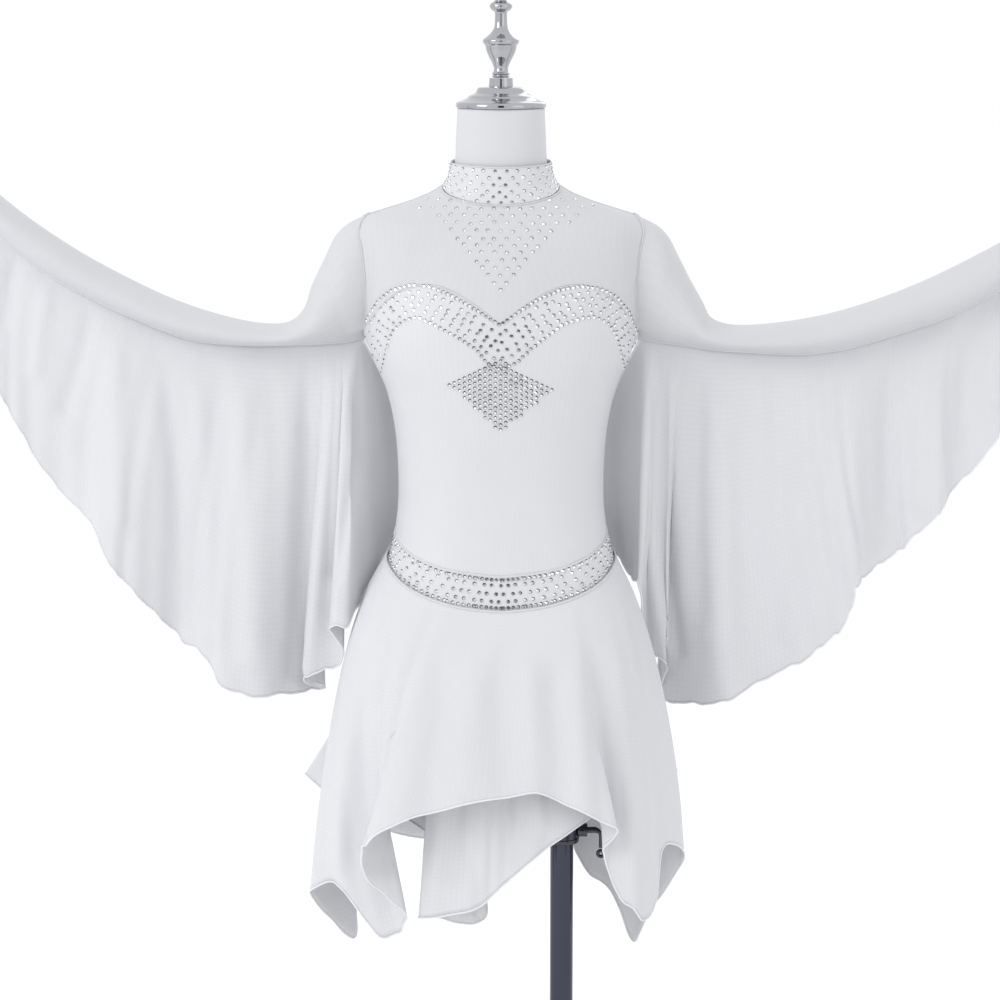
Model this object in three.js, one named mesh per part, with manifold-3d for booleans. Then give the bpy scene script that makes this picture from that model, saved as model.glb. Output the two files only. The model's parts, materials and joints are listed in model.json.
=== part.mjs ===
// Figure skating dress on a dress form: a high-necked dress with a sheer yoke, an opaque
// sweetheart bodice, a curved waist band, two handkerchief skirts and winged sleeves,
// on a smooth hip-length form and a height-adjustable stand.
// Units are millimetres, +Z is up, the front of the dress faces -Y and +X is the wearer's left.
// The origin is on the floor, under the middle of the dress.

import * as THREE from "three";
import { mergeVertices } from "three/addons/utils/BufferGeometryUtils.js";
import Module from "manifold-3d";

// ---- Driving dimensions -------------------------------------------------------------

const SEAM_GAP = 0.3;
const KNIT_WALL = 1.6;
const CHIFFON_WALL = 1.5;
const FORM_CLEARANCE = 2.6;

const ARMHOLE_CENTRE_Z = 1249;
const ARMHOLE_HALF_HEIGHT = 62.5;
const ARMHOLE_FRONT_TURN = 16;
const SHOULDER_EASE = 3.4;
const ARMHOLE_FLATNESS = 0.4;

const POLE_X = 67;
const POLE_RADIUS = 12.8;
const POLE_BORE_RADIUS = 10.7;
const MAST_RADIUS = 10;
const MAST_FOOT_Z = 430;
const FLANGE_RADIUS = 30;
const FLANGE_HEIGHT = 10;
const BASE_RADIUS = 190;
const BASE_RIM_HEIGHT = 9;
const BASE_HEIGHT = 16;
const POLE_TOP_Z = 656;
const CLAMP_RADIUS = 19;
const CLAMP_HEIGHT = 28;
const SCREW_Z = 641;
const SCREW_RADIUS = 3.5;
const SCREW_BOSS_RADIUS = 7.5;
const LEVER_X = 110;
const LEVER_DROP = 27;
const LEVER_KNOB_RADIUS = 5.5;
const ELBOW_RADIUS = 4.1;
const ROD_SIDES = 10;

const PANEL_DEGREES = 89.8;
const LINE_SQUARENESS = 2.3;

// ---- Tables: one row for each section or fold ---------------------------------------

// Level sections of the dress form, from the neck down: half width, and depth to the front and back.
const FORM_SECTIONS = [
  { z: 1430, half: 46, front: 46, back: 46 },
  { z: 1400, half: 47.5, front: 46, back: 50 },
  { z: 1372, half: 49, front: 47, back: 54 },
  { z: 1352, half: 54, front: 49, back: 60 },
  { z: 1338, half: 70, front: 51, back: 66 },
  { z: 1325, half: 98, front: 54, back: 72 },
  { z: 1314, half: 130, front: 58, back: 78 },
  { z: 1305, half: 150, front: 64, back: 84 },
  { z: 1285, half: 152, front: 76, back: 90 },
  { z: 1250, half: 147, front: 92, back: 95 },
  { z: 1215, half: 143, front: 104, back: 97 },
  { z: 1185, half: 141, front: 106, back: 96 },
  { z: 1145, half: 122, front: 100, back: 90 },
  { z: 1095, half: 110, front: 88, back: 82 },
  { z: 1050, half: 106, front: 80, back: 78 },
  { z: 1010, half: 106, front: 77, back: 77 },
  { z: 975, half: 110, front: 78, back: 80 },
  { z: 940, half: 118, front: 83, back: 90 },
  { z: 895, half: 132, front: 87, back: 98 },
  { z: 850, half: 139, front: 88, back: 102 },
  { z: 815, half: 139, front: 86, back: 101 },
  { z: 790, half: 131, front: 80, back: 95 },
  { z: 778, half: 114, front: 68, back: 82 },
];

// Style lines round the body: the turn is in degrees from the centre front.
const COLLAR_TOP_LINE = [
  { turn: 0, z: 1370 },
  { turn: 90, z: 1373 },
  { turn: 180, z: 1376 },
];
const COLLAR_SEAM_LINE = [
  { turn: 0, z: 1331 },
  { turn: 40, z: 1335 },
  { turn: 90, z: 1348 },
  { turn: 180, z: 1350 },
];
const SWEETHEART_LINE = [
  { turn: 0, z: 1212 },
  { turn: 10, z: 1225 },
  { turn: 22, z: 1238 },
  { turn: 33, z: 1247 },
  { turn: 43, z: 1250 },
  { turn: 51, z: 1247 },
  { turn: 57, z: 1240 },
  { turn: 65, z: 1224 },
  { turn: 73, z: 1209 },
  { turn: 79, z: 1200 },
];
const BACK_YOKE_LINE = [
  { turn: 0, z: 1172 },
  { turn: 40, z: 1182 },
  { turn: 79, z: 1200 },
];
const WAIST_SEAM_LINE = [
  { turn: 0, z: 942 },
  { turn: 35, z: 947 },
  { turn: 53, z: 955 },
  { turn: 80, z: 972 },
  { turn: 100, z: 980 },
  { turn: 130, z: 987 },
  { turn: 180, z: 990 },
];
const SKIRT_SEAM_LINE = [
  { turn: 0, z: 906 },
  { turn: 31, z: 911 },
  { turn: 54, z: 923 },
  { turn: 80, z: 944 },
  { turn: 100, z: 951 },
  { turn: 130, z: 957 },
  { turn: 180, z: 958 },
];

// Sleeve sections from the armhole to the wrist: the top and under edges and the half depth.
const LEFT_SLEEVE_SECTIONS = [
  { topX: 156, topZ: 1315, underX: 148, underZ: 1187, depth: 42 },
  { topX: 175, topZ: 1297, underX: 159, underZ: 1185, depth: 44 },
  { topX: 191, topZ: 1268, underX: 172, underZ: 1183, depth: 45 },
  { topX: 204, topZ: 1243, underX: 186, underZ: 1181, depth: 45 },
  { topX: 218, topZ: 1219, underX: 204, underZ: 1179, depth: 44 },
  { topX: 232, topZ: 1201, underX: 227, underZ: 1175, depth: 43 },
  { topX: 271, topZ: 1199, underX: 270, underZ: 1172, depth: 42 },
  { topX: 324, topZ: 1205, underX: 321, underZ: 1170, depth: 40 },
  { topX: 374, topZ: 1217, underX: 370, underZ: 1176, depth: 38 },
  { topX: 425, topZ: 1235, underX: 423, underZ: 1191, depth: 36 },
  { topX: 476, topZ: 1258, underX: 476, underZ: 1209, depth: 34 },
  { topX: 526, topZ: 1284, underX: 533, underZ: 1239, depth: 32 },
  { topX: 591, topZ: 1323, underX: 604, underZ: 1281, depth: 30 },
];
const RIGHT_SLEEVE_SECTIONS = [
  { topX: 156, topZ: 1315, underX: 148, underZ: 1187, depth: 42 },
  { topX: 174, topZ: 1297, underX: 158, underZ: 1185, depth: 44 },
  { topX: 190, topZ: 1265, underX: 170, underZ: 1183, depth: 45 },
  { topX: 203, topZ: 1237, underX: 184, underZ: 1182, depth: 45 },
  { topX: 214, topZ: 1210, underX: 203, underZ: 1181, depth: 44 },
  { topX: 240, topZ: 1199, underX: 236, underZ: 1180, depth: 43 },
  { topX: 279, topZ: 1204, underX: 276, underZ: 1180, depth: 42 },
  { topX: 330, topZ: 1218, underX: 333, underZ: 1186, depth: 40 },
  { topX: 381, topZ: 1240, underX: 389, underZ: 1207, depth: 38 },
  { topX: 431, topZ: 1266, underX: 442, underZ: 1232, depth: 36 },
  { topX: 481, topZ: 1299, underX: 493, underZ: 1262, depth: 34 },
  { topX: 531, topZ: 1337, underX: 545, underZ: 1307, depth: 32 },
  { topX: 591, topZ: 1388, underX: 604, underZ: 1361, depth: 30 },
];

// Wing hems from the underarm to the wrist: the seam is a place in the sleeve's table, and the
// hem is given by its distance from the middle, its depth and its height.
const LEFT_WING_FOLDS = [
  { seam: 0.08, x: 111, y: 62, z: 948 },
  { seam: 0.3, x: 128, y: 52, z: 938 },
  { seam: 0.6, x: 143, y: 34, z: 918 },
  { seam: 1.0, x: 149, y: 22, z: 914 },
  { seam: 1.5, x: 154, y: 42, z: 866 },
  { seam: 2.0, x: 163, y: 50, z: 832 },
  { seam: 2.6, x: 184, y: 44, z: 818 },
  { seam: 3.2, x: 178, y: 70, z: 790 },
  { seam: 3.7, x: 176, y: 86, z: 772 },
  { seam: 4.3, x: 210, y: 66, z: 768 },
  { seam: 4.9, x: 241, y: 36, z: 776 },
  { seam: 5.5, x: 284, y: 40, z: 797 },
  { seam: 6.0, x: 326, y: 22, z: 825 },
  { seam: 6.5, x: 352, y: 10, z: 847 },
  { seam: 7.0, x: 370, y: 0, z: 867 },
  { seam: 7.3, x: 383, y: -8, z: 903 },
  { seam: 7.7, x: 387, y: -2, z: 920 },
  { seam: 8.1, x: 402, y: 12, z: 930 },
  { seam: 8.7, x: 430, y: 16, z: 949 },
  { seam: 9.2, x: 446, y: 6, z: 966 },
  { seam: 9.7, x: 473, y: -8, z: 996 },
  { seam: 10.1, x: 479, y: 3, z: 1010 },
  { seam: 10.5, x: 508, y: 8, z: 1041 },
  { seam: 10.9, x: 537, y: 2, z: 1081 },
  { seam: 11.3, x: 562, y: -2, z: 1146 },
  { seam: 11.6, x: 582, y: 0, z: 1205 },
  { seam: 12.0, x: 603, y: 0, z: 1262 },
];
const RIGHT_WING_FOLDS = [
  { seam: 0.08, x: 113, y: 60, z: 964 },
  { seam: 0.3, x: 131, y: 40, z: 938 },
  { seam: 0.6, x: 152, y: 14, z: 902 },
  { seam: 1.0, x: 165, y: -15, z: 874 },
  { seam: 1.5, x: 188, y: -8, z: 873 },
  { seam: 2.0, x: 169, y: 10, z: 836 },
  { seam: 2.5, x: 190, y: 19, z: 819 },
  { seam: 3.0, x: 217, y: 24, z: 806 },
  { seam: 3.4, x: 205, y: 42, z: 797 },
  { seam: 3.9, x: 194, y: 54, z: 790 },
  { seam: 4.4, x: 222, y: 46, z: 788 },
  { seam: 5.0, x: 264, y: 10, z: 788 },
  { seam: 5.6, x: 306, y: 10, z: 803 },
  { seam: 6.1, x: 327, y: 18, z: 836 },
  { seam: 6.5, x: 352, y: 27, z: 852 },
  { seam: 7.0, x: 377, y: 10, z: 882 },
  { seam: 7.4, x: 402, y: -6, z: 916 },
  { seam: 7.8, x: 422, y: -10, z: 938 },
  { seam: 8.3, x: 440, y: 0, z: 981 },
  { seam: 8.9, x: 469, y: 13, z: 1008 },
  { seam: 9.6, x: 502, y: 4, z: 1056 },
  { seam: 10.2, x: 526, y: 2, z: 1101 },
  { seam: 10.6, x: 539, y: 0, z: 1132 },
  { seam: 11.1, x: 557, y: -3, z: 1178 },
  { seam: 11.5, x: 576, y: 0, z: 1238 },
  { seam: 11.8, x: 592, y: 2, z: 1300 },
  { seam: 12.0, x: 603, y: 0, z: 1344 },
];

// Outer skirt hem, once round from the centre front towards +X: the turn is where the fold
// starts at the waist seam, in degrees, and the rest is where it ends at the hem.
const OUTER_SKIRT_FOLDS = [
  { turn: 8, x: 30, y: -150, z: 724 },
  { turn: 24, x: 75, y: -152, z: 709 },
  { turn: 41, x: 115, y: -143, z: 685 },
  { turn: 49, x: 111, y: -118, z: 650 },
  { turn: 55, x: 124, y: -114, z: 605 },
  { turn: 61, x: 140, y: -114, z: 587 },
  { turn: 67, x: 155, y: -108, z: 574 },
  { turn: 73, x: 168, y: -86, z: 610 },
  { turn: 79, x: 182, y: -62, z: 644 },
  { turn: 85, x: 196, y: -36, z: 625 },
  { turn: 91, x: 184, y: -14, z: 584 },
  { turn: 96, x: 164, y: 4, z: 543 },
  { turn: 101, x: 147, y: 16, z: 508 },
  { turn: 106, x: 126, y: 32, z: 556 },
  { turn: 111, x: 99, y: 44, z: 577 },
  { turn: 116, x: 85, y: 58, z: 615 },
  { turn: 123, x: 134, y: 82, z: 653 },
  { turn: 130, x: 180, y: 90, z: 671 },
  { turn: 137, x: 199, y: 102, z: 682 },
  { turn: 148, x: 160, y: 130, z: 650 },
  { turn: 163, x: 91, y: 150, z: 621 },
  { turn: 180, x: -2, y: 154, z: 596 },
  { turn: 198, x: -103, y: 148, z: 588 },
  { turn: 212, x: -173, y: 126, z: 632 },
  { turn: 222, x: -220, y: 96, z: 676 },
  { turn: 232, x: -192, y: 66, z: 657 },
  { turn: 242, x: -170, y: 38, z: 594 },
  { turn: 252, x: -163, y: 8, z: 518 },
  { turn: 260, x: -187, y: -24, z: 550 },
  { turn: 268, x: -206, y: -50, z: 586 },
  { turn: 276, x: -182, y: -70, z: 603 },
  { turn: 284, x: -156, y: -78, z: 577 },
  { turn: 291, x: -130, y: -85, z: 548 },
  { turn: 297, x: -108, y: -90, z: 553 },
  { turn: 302, x: -104, y: -99, z: 574 },
  { turn: 308, x: -116, y: -110, z: 594 },
  { turn: 314, x: -138, y: -122, z: 621 },
  { turn: 320, x: -150, y: -136, z: 653 },
  { turn: 327, x: -140, y: -146, z: 672 },
  { turn: 337, x: -106, y: -151, z: 692 },
  { turn: 352, x: -47, y: -153, z: 711 },
];
const UNDER_SKIRT_FOLDS = [
  { turn: 4, x: -4, y: -118, z: 608 },
  { turn: 12, x: 14, y: -122, z: 626 },
  { turn: 22, x: 36, y: -123, z: 646 },
  { turn: 34, x: 61, y: -120, z: 665 },
  { turn: 48, x: 96, y: -106, z: 688 },
  { turn: 66, x: 116, y: -70, z: 694 },
  { turn: 88, x: 118, y: -14, z: 708 },
  { turn: 112, x: 106, y: 36, z: 716 },
  { turn: 140, x: 94, y: 84, z: 704 },
  { turn: 180, x: 0, y: 118, z: 680 },
  { turn: 220, x: -112, y: 100, z: 692 },
  { turn: 248, x: -146, y: 52, z: 700 },
  { turn: 268, x: -142, y: 0, z: 690 },
  { turn: 282, x: -112, y: -26, z: 668 },
  { turn: 292, x: -66, y: -40, z: 640 },
  { turn: 299, x: -24, y: -52, z: 600 },
  { turn: 305, x: -16, y: -64, z: 566 },
  { turn: 310, x: -26, y: -74, z: 558 },
  { turn: 316, x: -46, y: -82, z: 561 },
  { turn: 322, x: -68, y: -88, z: 569 },
  { turn: 329, x: -86, y: -98, z: 572 },
  { turn: 337, x: -67, y: -112, z: 577 },
  { turn: 347, x: -34, y: -116, z: 586 },
  { turn: 356, x: -18, y: -117, z: 594 },
];

// Stand turnings, each from the bottom up, as radius and height.
const CAP_OUTLINE = [
  [0, 1430.3],
  [46.8, 1430.3],
  [47.9, 1433],
  [46.5, 1436.3],
  [40.5, 1438.6],
  [34, 1442.4],
  [28, 1445.6],
  [24.5, 1450.5],
  [20, 1452.2],
  [13.4, 1452.8],
  [12.4, 1461.7],
  [0, 1461.7],
];
const FINIAL_OUTLINE = [
  [0, 1462],
  [9, 1462],
  [9.7, 1466],
  [7.6, 1470.5],
  [10, 1478.2],
  [13.4, 1484.8],
  [16.2, 1493],
  [19.3, 1500],
  [16, 1504.2],
  [9.4, 1510.4],
  [6.8, 1517],
  [6.5, 1529.8],
  [11.2, 1534],
  [11.6, 1537.5],
  [6.4, 1542.6],
  [10.5, 1549.6],
  [12.3, 1558],
  [9.8, 1567.8],
  [4, 1573.6],
  [0, 1575],
];

// ---- Materials ----------------------------------------------------------------------

const finishes = {
  mesh: new THREE.MeshStandardMaterial({ color: 0xe4e5e9, roughness: 0.7, metalness: 0 }),
  spandex: new THREE.MeshStandardMaterial({ color: 0xf1f2f5, roughness: 0.55, metalness: 0 }),
  chiffon: new THREE.MeshStandardMaterial({ color: 0xeeeff3, roughness: 0.8, metalness: 0 }),
  formCloth: new THREE.MeshStandardMaterial({ color: 0xdcdde0, roughness: 0.65, metalness: 0 }),
  chrome: new THREE.MeshStandardMaterial({ color: 0xb9bcc0, roughness: 0.15, metalness: 1 }),
};

// ---- Smooth curves through the tables -----------------------------------------------

// A column of a table at a place between its rows, on a Catmull-Rom curve.
function smoothColumn(rows, column, place, closed = false) {
  const count = rows.length;
  const span = closed ? count : count - 1;
  const at = closed ? ((place % span) + span) % span : THREE.MathUtils.clamp(place, 0, span);
  const start = Math.min(Math.floor(at), span - 1);
  const t = at - start;
  const value = (index) => {
    const row = closed ? (index + count) % count : THREE.MathUtils.clamp(index, 0, count - 1);
    return rows[row][column];
  };
  const [a, b, c, d] = [value(start - 1), value(start), value(start + 1), value(start + 2)];
  const square = 2 * a - 5 * b + 4 * c - d;
  const cube = 3 * b - a - 3 * c + d;
  return 0.5 * (2 * b + (c - a) * t + square * t * t + cube * t * t * t);
}

// A column by the value of another column that grows from row to row.
function lookUp(rows, key, column, wanted) {
  const last = rows.length - 1;
  if (wanted <= rows[0][key]) return rows[0][column];
  if (wanted >= rows[last][key]) return rows[last][column];
  const after = rows.findIndex((row) => row[key] > wanted);
  const span = rows[after][key] - rows[after - 1][key];
  return smoothColumn(rows, column, after - 1 + (wanted - rows[after - 1][key]) / span);
}

function styleLine(line, turn) {
  const folded = Math.abs(((turn + 540) % 360) - 180);
  return lookUp(line, "turn", "z", folded);
}

// ---- The body surface ---------------------------------------------------------------

// The place in the form's table that lies at a height.
function sectionAtHeight(z) {
  let above = 0;
  let below = FORM_SECTIONS.length - 1;
  for (let step = 0; step < 30; step++) {
    const middle = (above + below) / 2;
    if (smoothColumn(FORM_SECTIONS, "z", middle) > z) above = middle;
    else below = middle;
  }
  return (above + below) / 2;
}

// A level rounded outline: the distance from the axis at a turn from the front.
function outlineReach(radians, half, front, back) {
  const depth = Math.cos(radians) > 0 ? front : back;
  const across = Math.pow(Math.abs(Math.sin(radians)) / half, LINE_SQUARENESS);
  const along = Math.pow(Math.abs(Math.cos(radians)) / depth, LINE_SQUARENESS);
  return Math.pow(across + along, -1 / LINE_SQUARENESS);
}

function outlinePoint(turn, half, front, back, z) {
  const radians = THREE.MathUtils.degToRad(turn);
  const reach = outlineReach(radians, half, front, back);
  return new THREE.Vector3(reach * Math.sin(radians), -reach * Math.cos(radians), z);
}

function bodyPoint(turn, section) {
  const column = (name) => smoothColumn(FORM_SECTIONS, name, section);
  return outlinePoint(turn, column("half"), column("front"), column("back"), column("z"));
}

// A point held off the body along its normal.
function overBody(turn, section, clear) {
  const turnStep = 1.5;
  const sectionStep = 0.15;
  const around = bodyPoint(turn + turnStep, section).sub(bodyPoint(turn - turnStep, section));
  const down = bodyPoint(turn, section + sectionStep).sub(bodyPoint(turn, section - sectionStep));
  const normal = down.cross(around).normalize();
  return bodyPoint(turn, section).addScaledVector(normal, clear);
}

// How far from the side seam the armhole cuts into a panel at a height, in degrees.
function armholeTurn(z) {
  const rise = (z - ARMHOLE_CENTRE_Z) / ARMHOLE_HALF_HEIGHT;
  if (Math.abs(rise) >= 1) return 0;
  return ARMHOLE_FRONT_TURN * Math.pow(1 - rise * rise, ARMHOLE_FLATNESS);
}

// ---- Closed solids ------------------------------------------------------------------

function geometryFrom(points, faces) {
  const geometry = new THREE.BufferGeometry();
  const flat = points.flatMap((point) => [point.x, point.y, point.z]);
  geometry.setAttribute("position", new THREE.Float32BufferAttribute(flat, 3));
  geometry.setIndex(faces.flat());
  return facingOut(geometry);
}

// Turns a closed geometry's faces outwards, if its volume comes out negative.
function facingOut(geometry) {
  const position = geometry.getAttribute("position");
  const index = geometry.getIndex();
  const corner = (i) => new THREE.Vector3().fromBufferAttribute(position, index.getX(i));
  let volume = 0;
  for (let i = 0; i < index.count; i += 3) {
    volume += corner(i).dot(corner(i + 1).cross(corner(i + 2)));
  }
  if (volume < 0) {
    for (let i = 0; i < index.count; i += 3) {
      const kept = index.getX(i + 1);
      index.setX(i + 1, index.getX(i + 2));
      index.setX(i + 2, kept);
    }
  }
  geometry.computeVertexNormals();
  return geometry;
}

function gridNormal(grid, i, j, closed) {
  const columns = grid.length;
  const rows = grid[0].length;
  const before = closed ? grid[(i + columns - 1) % columns] : grid[Math.max(i - 1, 0)];
  const after = closed ? grid[(i + 1) % columns] : grid[Math.min(i + 1, columns - 1)];
  const across = new THREE.Vector3().subVectors(after[j], before[j]).normalize();
  const high = grid[i][Math.max(j - 1, 0)];
  const low = grid[i][Math.min(j + 1, rows - 1)];
  const along = new THREE.Vector3().subVectors(low, high).normalize();
  return along.cross(across).normalize();
}

// A cloth wall: a grid of points, [column][row], thickened to both sides of its middle.
// A closed wall is a tube, joined from its last column to its first.
function wall(grid, thickness, closed = false) {
  const columns = grid.length;
  const rows = grid[0].length;
  const points = [];
  for (const side of [0.5, -0.5]) {
    grid.forEach((column, i) =>
      column.forEach((point, j) => {
        const normal = gridNormal(grid, i, j, closed);
        points.push(point.clone().addScaledVector(normal, side * thickness));
      }),
    );
  }
  const at = (side, i, j) => side * columns * rows + (i % columns) * rows + j;
  const faces = [];
  const quad = (a, b, c, d) => faces.push([a, b, c], [a, c, d]);
  const spans = closed ? columns : columns - 1;
  for (let i = 0; i < spans; i++) {
    for (let j = 0; j < rows - 1; j++) {
      quad(at(0, i, j), at(0, i, j + 1), at(0, i + 1, j + 1), at(0, i + 1, j));
      quad(at(1, i, j), at(1, i + 1, j), at(1, i + 1, j + 1), at(1, i, j + 1));
    }
    quad(at(0, i, 0), at(0, i + 1, 0), at(1, i + 1, 0), at(1, i, 0));
    quad(at(0, i, rows - 1), at(1, i, rows - 1), at(1, i + 1, rows - 1), at(0, i + 1, rows - 1));
  }
  if (!closed) {
    for (let j = 0; j < rows - 1; j++) {
      quad(at(0, 0, j), at(1, 0, j), at(1, 0, j + 1), at(0, 0, j + 1));
      const end = columns - 1;
      quad(at(0, end, j), at(0, end, j + 1), at(1, end, j + 1), at(1, end, j));
    }
  }
  return geometryFrom(points, faces);
}

// A solid skin through level rings, [ring][point], closed with a cap at each end.
function loftSolid(rings) {
  const size = rings[0].length;
  const points = rings.flat();
  const faces = [];
  for (let ring = 0; ring < rings.length - 1; ring++) {
    for (let i = 0; i < size; i++) {
      const next = (i + 1) % size;
      const [a, b] = [ring * size + i, ring * size + next];
      faces.push([a, a + size, b + size], [a, b + size, b]);
    }
  }
  const middle = (ring) =>
    ring.reduce((sum, point) => sum.add(point), new THREE.Vector3()).divideScalar(size);
  const top = points.push(middle(rings[0])) - 1;
  const bottom = points.push(middle(rings[rings.length - 1])) - 1;
  const last = (rings.length - 1) * size;
  for (let i = 0; i < size; i++) {
    const next = (i + 1) % size;
    faces.push([top, i, next], [bottom, last + next, last + i]);
  }
  return geometryFrom(points, faces);
}

// A table of samples: a grid of columns by rows from a function of two shares, 0 to 1.
function sampleGrid(columns, rows, pointAt, closed = false) {
  const spans = closed ? columns : columns - 1;
  return Array.from({ length: columns }, (_, i) =>
    Array.from({ length: rows }, (__, j) => pointAt(i / spans, j / (rows - 1))),
  );
}

const wasm = await Module();
wasm.setup();

function solidFrom(geometry) {
  const bare = new THREE.BufferGeometry();
  bare.setAttribute("position", geometry.getAttribute("position").clone());
  bare.setIndex(geometry.getIndex() ? geometry.getIndex().clone() : null);
  const merged = mergeVertices(bare, 1e-4);
  return new wasm.Manifold(
    new wasm.Mesh({
      numProp: 3,
      vertProperties: merged.attributes.position.array,
      triVerts: new Uint32Array(merged.index.array),
    }),
  );
}

function geometryOf(solid) {
  const mesh = solid.getMesh();
  const geometry = new THREE.BufferGeometry();
  const positions = new Float32Array(mesh.numVert * 3);
  for (let i = 0; i < mesh.numVert; i++) {
    const start = i * mesh.numProp;
    positions.set(mesh.vertProperties.subarray(start, start + 3), i * 3);
  }
  geometry.setAttribute("position", new THREE.BufferAttribute(positions, 3));
  geometry.setIndex(new THREE.BufferAttribute(mesh.triVerts, 1));
  geometry.computeVertexNormals();
  return geometry;
}

function turned(outline, segments, x = 0) {
  const profile = outline.map(([radius, z]) => new THREE.Vector2(radius, z));
  const geometry = new THREE.LatheGeometry(profile, segments);
  geometry.rotateX(Math.PI / 2);
  geometry.translate(x, 0, 0);
  geometry.deleteAttribute("normal");
  geometry.deleteAttribute("uv");
  return facingOut(mergeVertices(geometry, 1e-3));
}

// ---- The dress ----------------------------------------------------------------------

const dress = new THREE.Group();

function addPiece(parent, name, geometry, finish) {
  const piece = new THREE.Mesh(geometry, finish);
  piece.name = name;
  parent.add(piece);
  return piece;
}

// Clearances of the layers' middles over the form.
const PANEL_CLEAR = FORM_CLEARANCE + KNIT_WALL / 2;
const BAND_CLEAR = PANEL_CLEAR + 1;
const UNDER_SKIRT_CLEAR = PANEL_CLEAR + 1.8;
const OUTER_SKIRT_CLEAR = UNDER_SKIRT_CLEAR + 2.4;

function collarGrid() {
  return sampleGrid(
    26,
    3,
    (around, down) => {
      const turn = around * 360;
      const top = sectionAtHeight(styleLine(COLLAR_TOP_LINE, turn));
      const seam = sectionAtHeight(styleLine(COLLAR_SEAM_LINE, turn) + 1);
      return overBody(turn, THREE.MathUtils.lerp(top, seam, down), PANEL_CLEAR);
    },
    true,
  );
}

// The yoke's lower seam ends at the armhole, short of the side seam, and the bodice below it
// goes on to the side seam. Both panels share the columns between.
const YOKE_END_TURN = 79;
const YOKE_COLUMNS = 19;
const UNDERARM_TURNS = [83, 87, PANEL_DEGREES];

const yokeShares = Array.from({ length: YOKE_COLUMNS }, (_, i) => (2 * i) / (YOKE_COLUMNS - 1) - 1);

// The yoke: from the collar seam down, with its sides on the shoulder seam and the armhole.
function yokeGrid(facing, collarLine, lowLine, rows) {
  const sectionOn = (line, turn, gap) => sectionAtHeight(styleLine(line, turn) + gap);
  const edgeTop = sectionOn(collarLine, PANEL_DEGREES, -1);
  const edgeLow = sectionOn(lowLine, YOKE_END_TURN, SEAM_GAP);
  return yokeShares.map((share) =>
    Array.from({ length: rows }, (_, j) => {
      const down = j / (rows - 1);
      const edgeSection = THREE.MathUtils.lerp(edgeTop, edgeLow, down);
      const edgeHeight = smoothColumn(FORM_SECTIONS, "z", edgeSection);
      const edge = Math.min(PANEL_DEGREES, 90 - armholeTurn(edgeHeight));
      const top = sectionOn(collarLine, share * PANEL_DEGREES, -1);
      const low = sectionOn(lowLine, share * YOKE_END_TURN, SEAM_GAP);
      const clear = PANEL_CLEAR + SHOULDER_EASE * Math.sin(down * Math.PI);
      return overBody(facing + share * edge, THREE.MathUtils.lerp(top, low, down), clear);
    }),
  );
}

const dressBackLine = (line) => line.map((row) => ({ turn: 180 - row.turn, z: row.z })).reverse();

// The bodice's upper edge: the sweetheart or back line, then down round the armhole.
function bodiceTopLine(line) {
  const underarm = UNDERARM_TURNS.map((turn) => {
    const cut = Math.pow((90 - turn) / ARMHOLE_FRONT_TURN, 1 / ARMHOLE_FLATNESS);
    return { turn, z: ARMHOLE_CENTRE_Z - ARMHOLE_HALF_HEIGHT * Math.sqrt(1 - cut) };
  });
  return [...line, ...underarm];
}

function bodiceGrid(facing, topLine, waistLine, rows) {
  const turns = yokeShares.map((share) => share * YOKE_END_TURN);
  const sides = [...UNDERARM_TURNS].reverse().map((turn) => -turn);
  return [...sides, ...turns, ...UNDERARM_TURNS].map((turn) => {
    const top = sectionAtHeight(styleLine(topLine, turn) - SEAM_GAP);
    const waist = sectionAtHeight(styleLine(waistLine, turn) + SEAM_GAP);
    return Array.from({ length: rows }, (_, j) => {
      const section = THREE.MathUtils.lerp(top, waist, j / (rows - 1));
      return overBody(facing + turn, section, PANEL_CLEAR);
    });
  });
}

function waistBandGrid() {
  return sampleGrid(
    36,
    3,
    (around, down) => {
      const turn = around * 360;
      const top = sectionAtHeight(styleLine(WAIST_SEAM_LINE, turn) - SEAM_GAP);
      const low = sectionAtHeight(styleLine(SKIRT_SEAM_LINE, turn) + SEAM_GAP);
      return overBody(turn, THREE.MathUtils.lerp(top, low, down), BAND_CLEAR);
    },
    true,
  );
}

// A skirt hangs from the skirt seam over the hips to its hem. Each fold grows towards the hem
// from the even flare that the skirt would have without it.
const HIP_DROP = 92;
const FOLD_START = 0.15;
const FOLD_GROWTH = 2;

function skirtGrid(columns, rows, folds, shape) {
  const turnAt = (place) => {
    const start = Math.floor(place);
    const from = folds[start % folds.length].turn;
    const to = folds[(start + 1) % folds.length].turn;
    const step = to < from ? to + 360 - from : to - from;
    return from + step * (place - start);
  };
  return sampleGrid(
    columns,
    rows,
    (around, down) => {
      const place = around * folds.length;
      const turn = turnAt(place);
      const column = (name) => smoothColumn(folds, name, place, true);
      const hem = new THREE.Vector3(column("x"), column("y"), column("z"));
      const seamZ = styleLine(SKIRT_SEAM_LINE, turn) - SEAM_GAP;
      const start = overBody(turn, sectionAtHeight(seamZ), shape.clear);
      const hip = outlinePoint(turn, shape.hip, shape.hipFront, shape.hipBack, seamZ - HIP_DROP);
      const flare = outlinePoint(turn, shape.flare, shape.flareFront, shape.flareBack, hem.z);
      hip.x += shape.hipLean;
      flare.x += shape.flareLean;
      const even = start.multiplyScalar((1 - down) ** 2);
      even.addScaledVector(hip, 2 * down * (1 - down)).addScaledVector(flare, down ** 2);
      const grown = Math.max(0, (down - FOLD_START) / (1 - FOLD_START)) ** FOLD_GROWTH;
      return even.addScaledVector(hem.sub(flare), grown);
    },
    true,
  );
}

// ---- Sleeves and wings --------------------------------------------------------------

const ARMHOLE_INSET = 2.2;
const ARMHOLE_NARROWING = 0.9;

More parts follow.
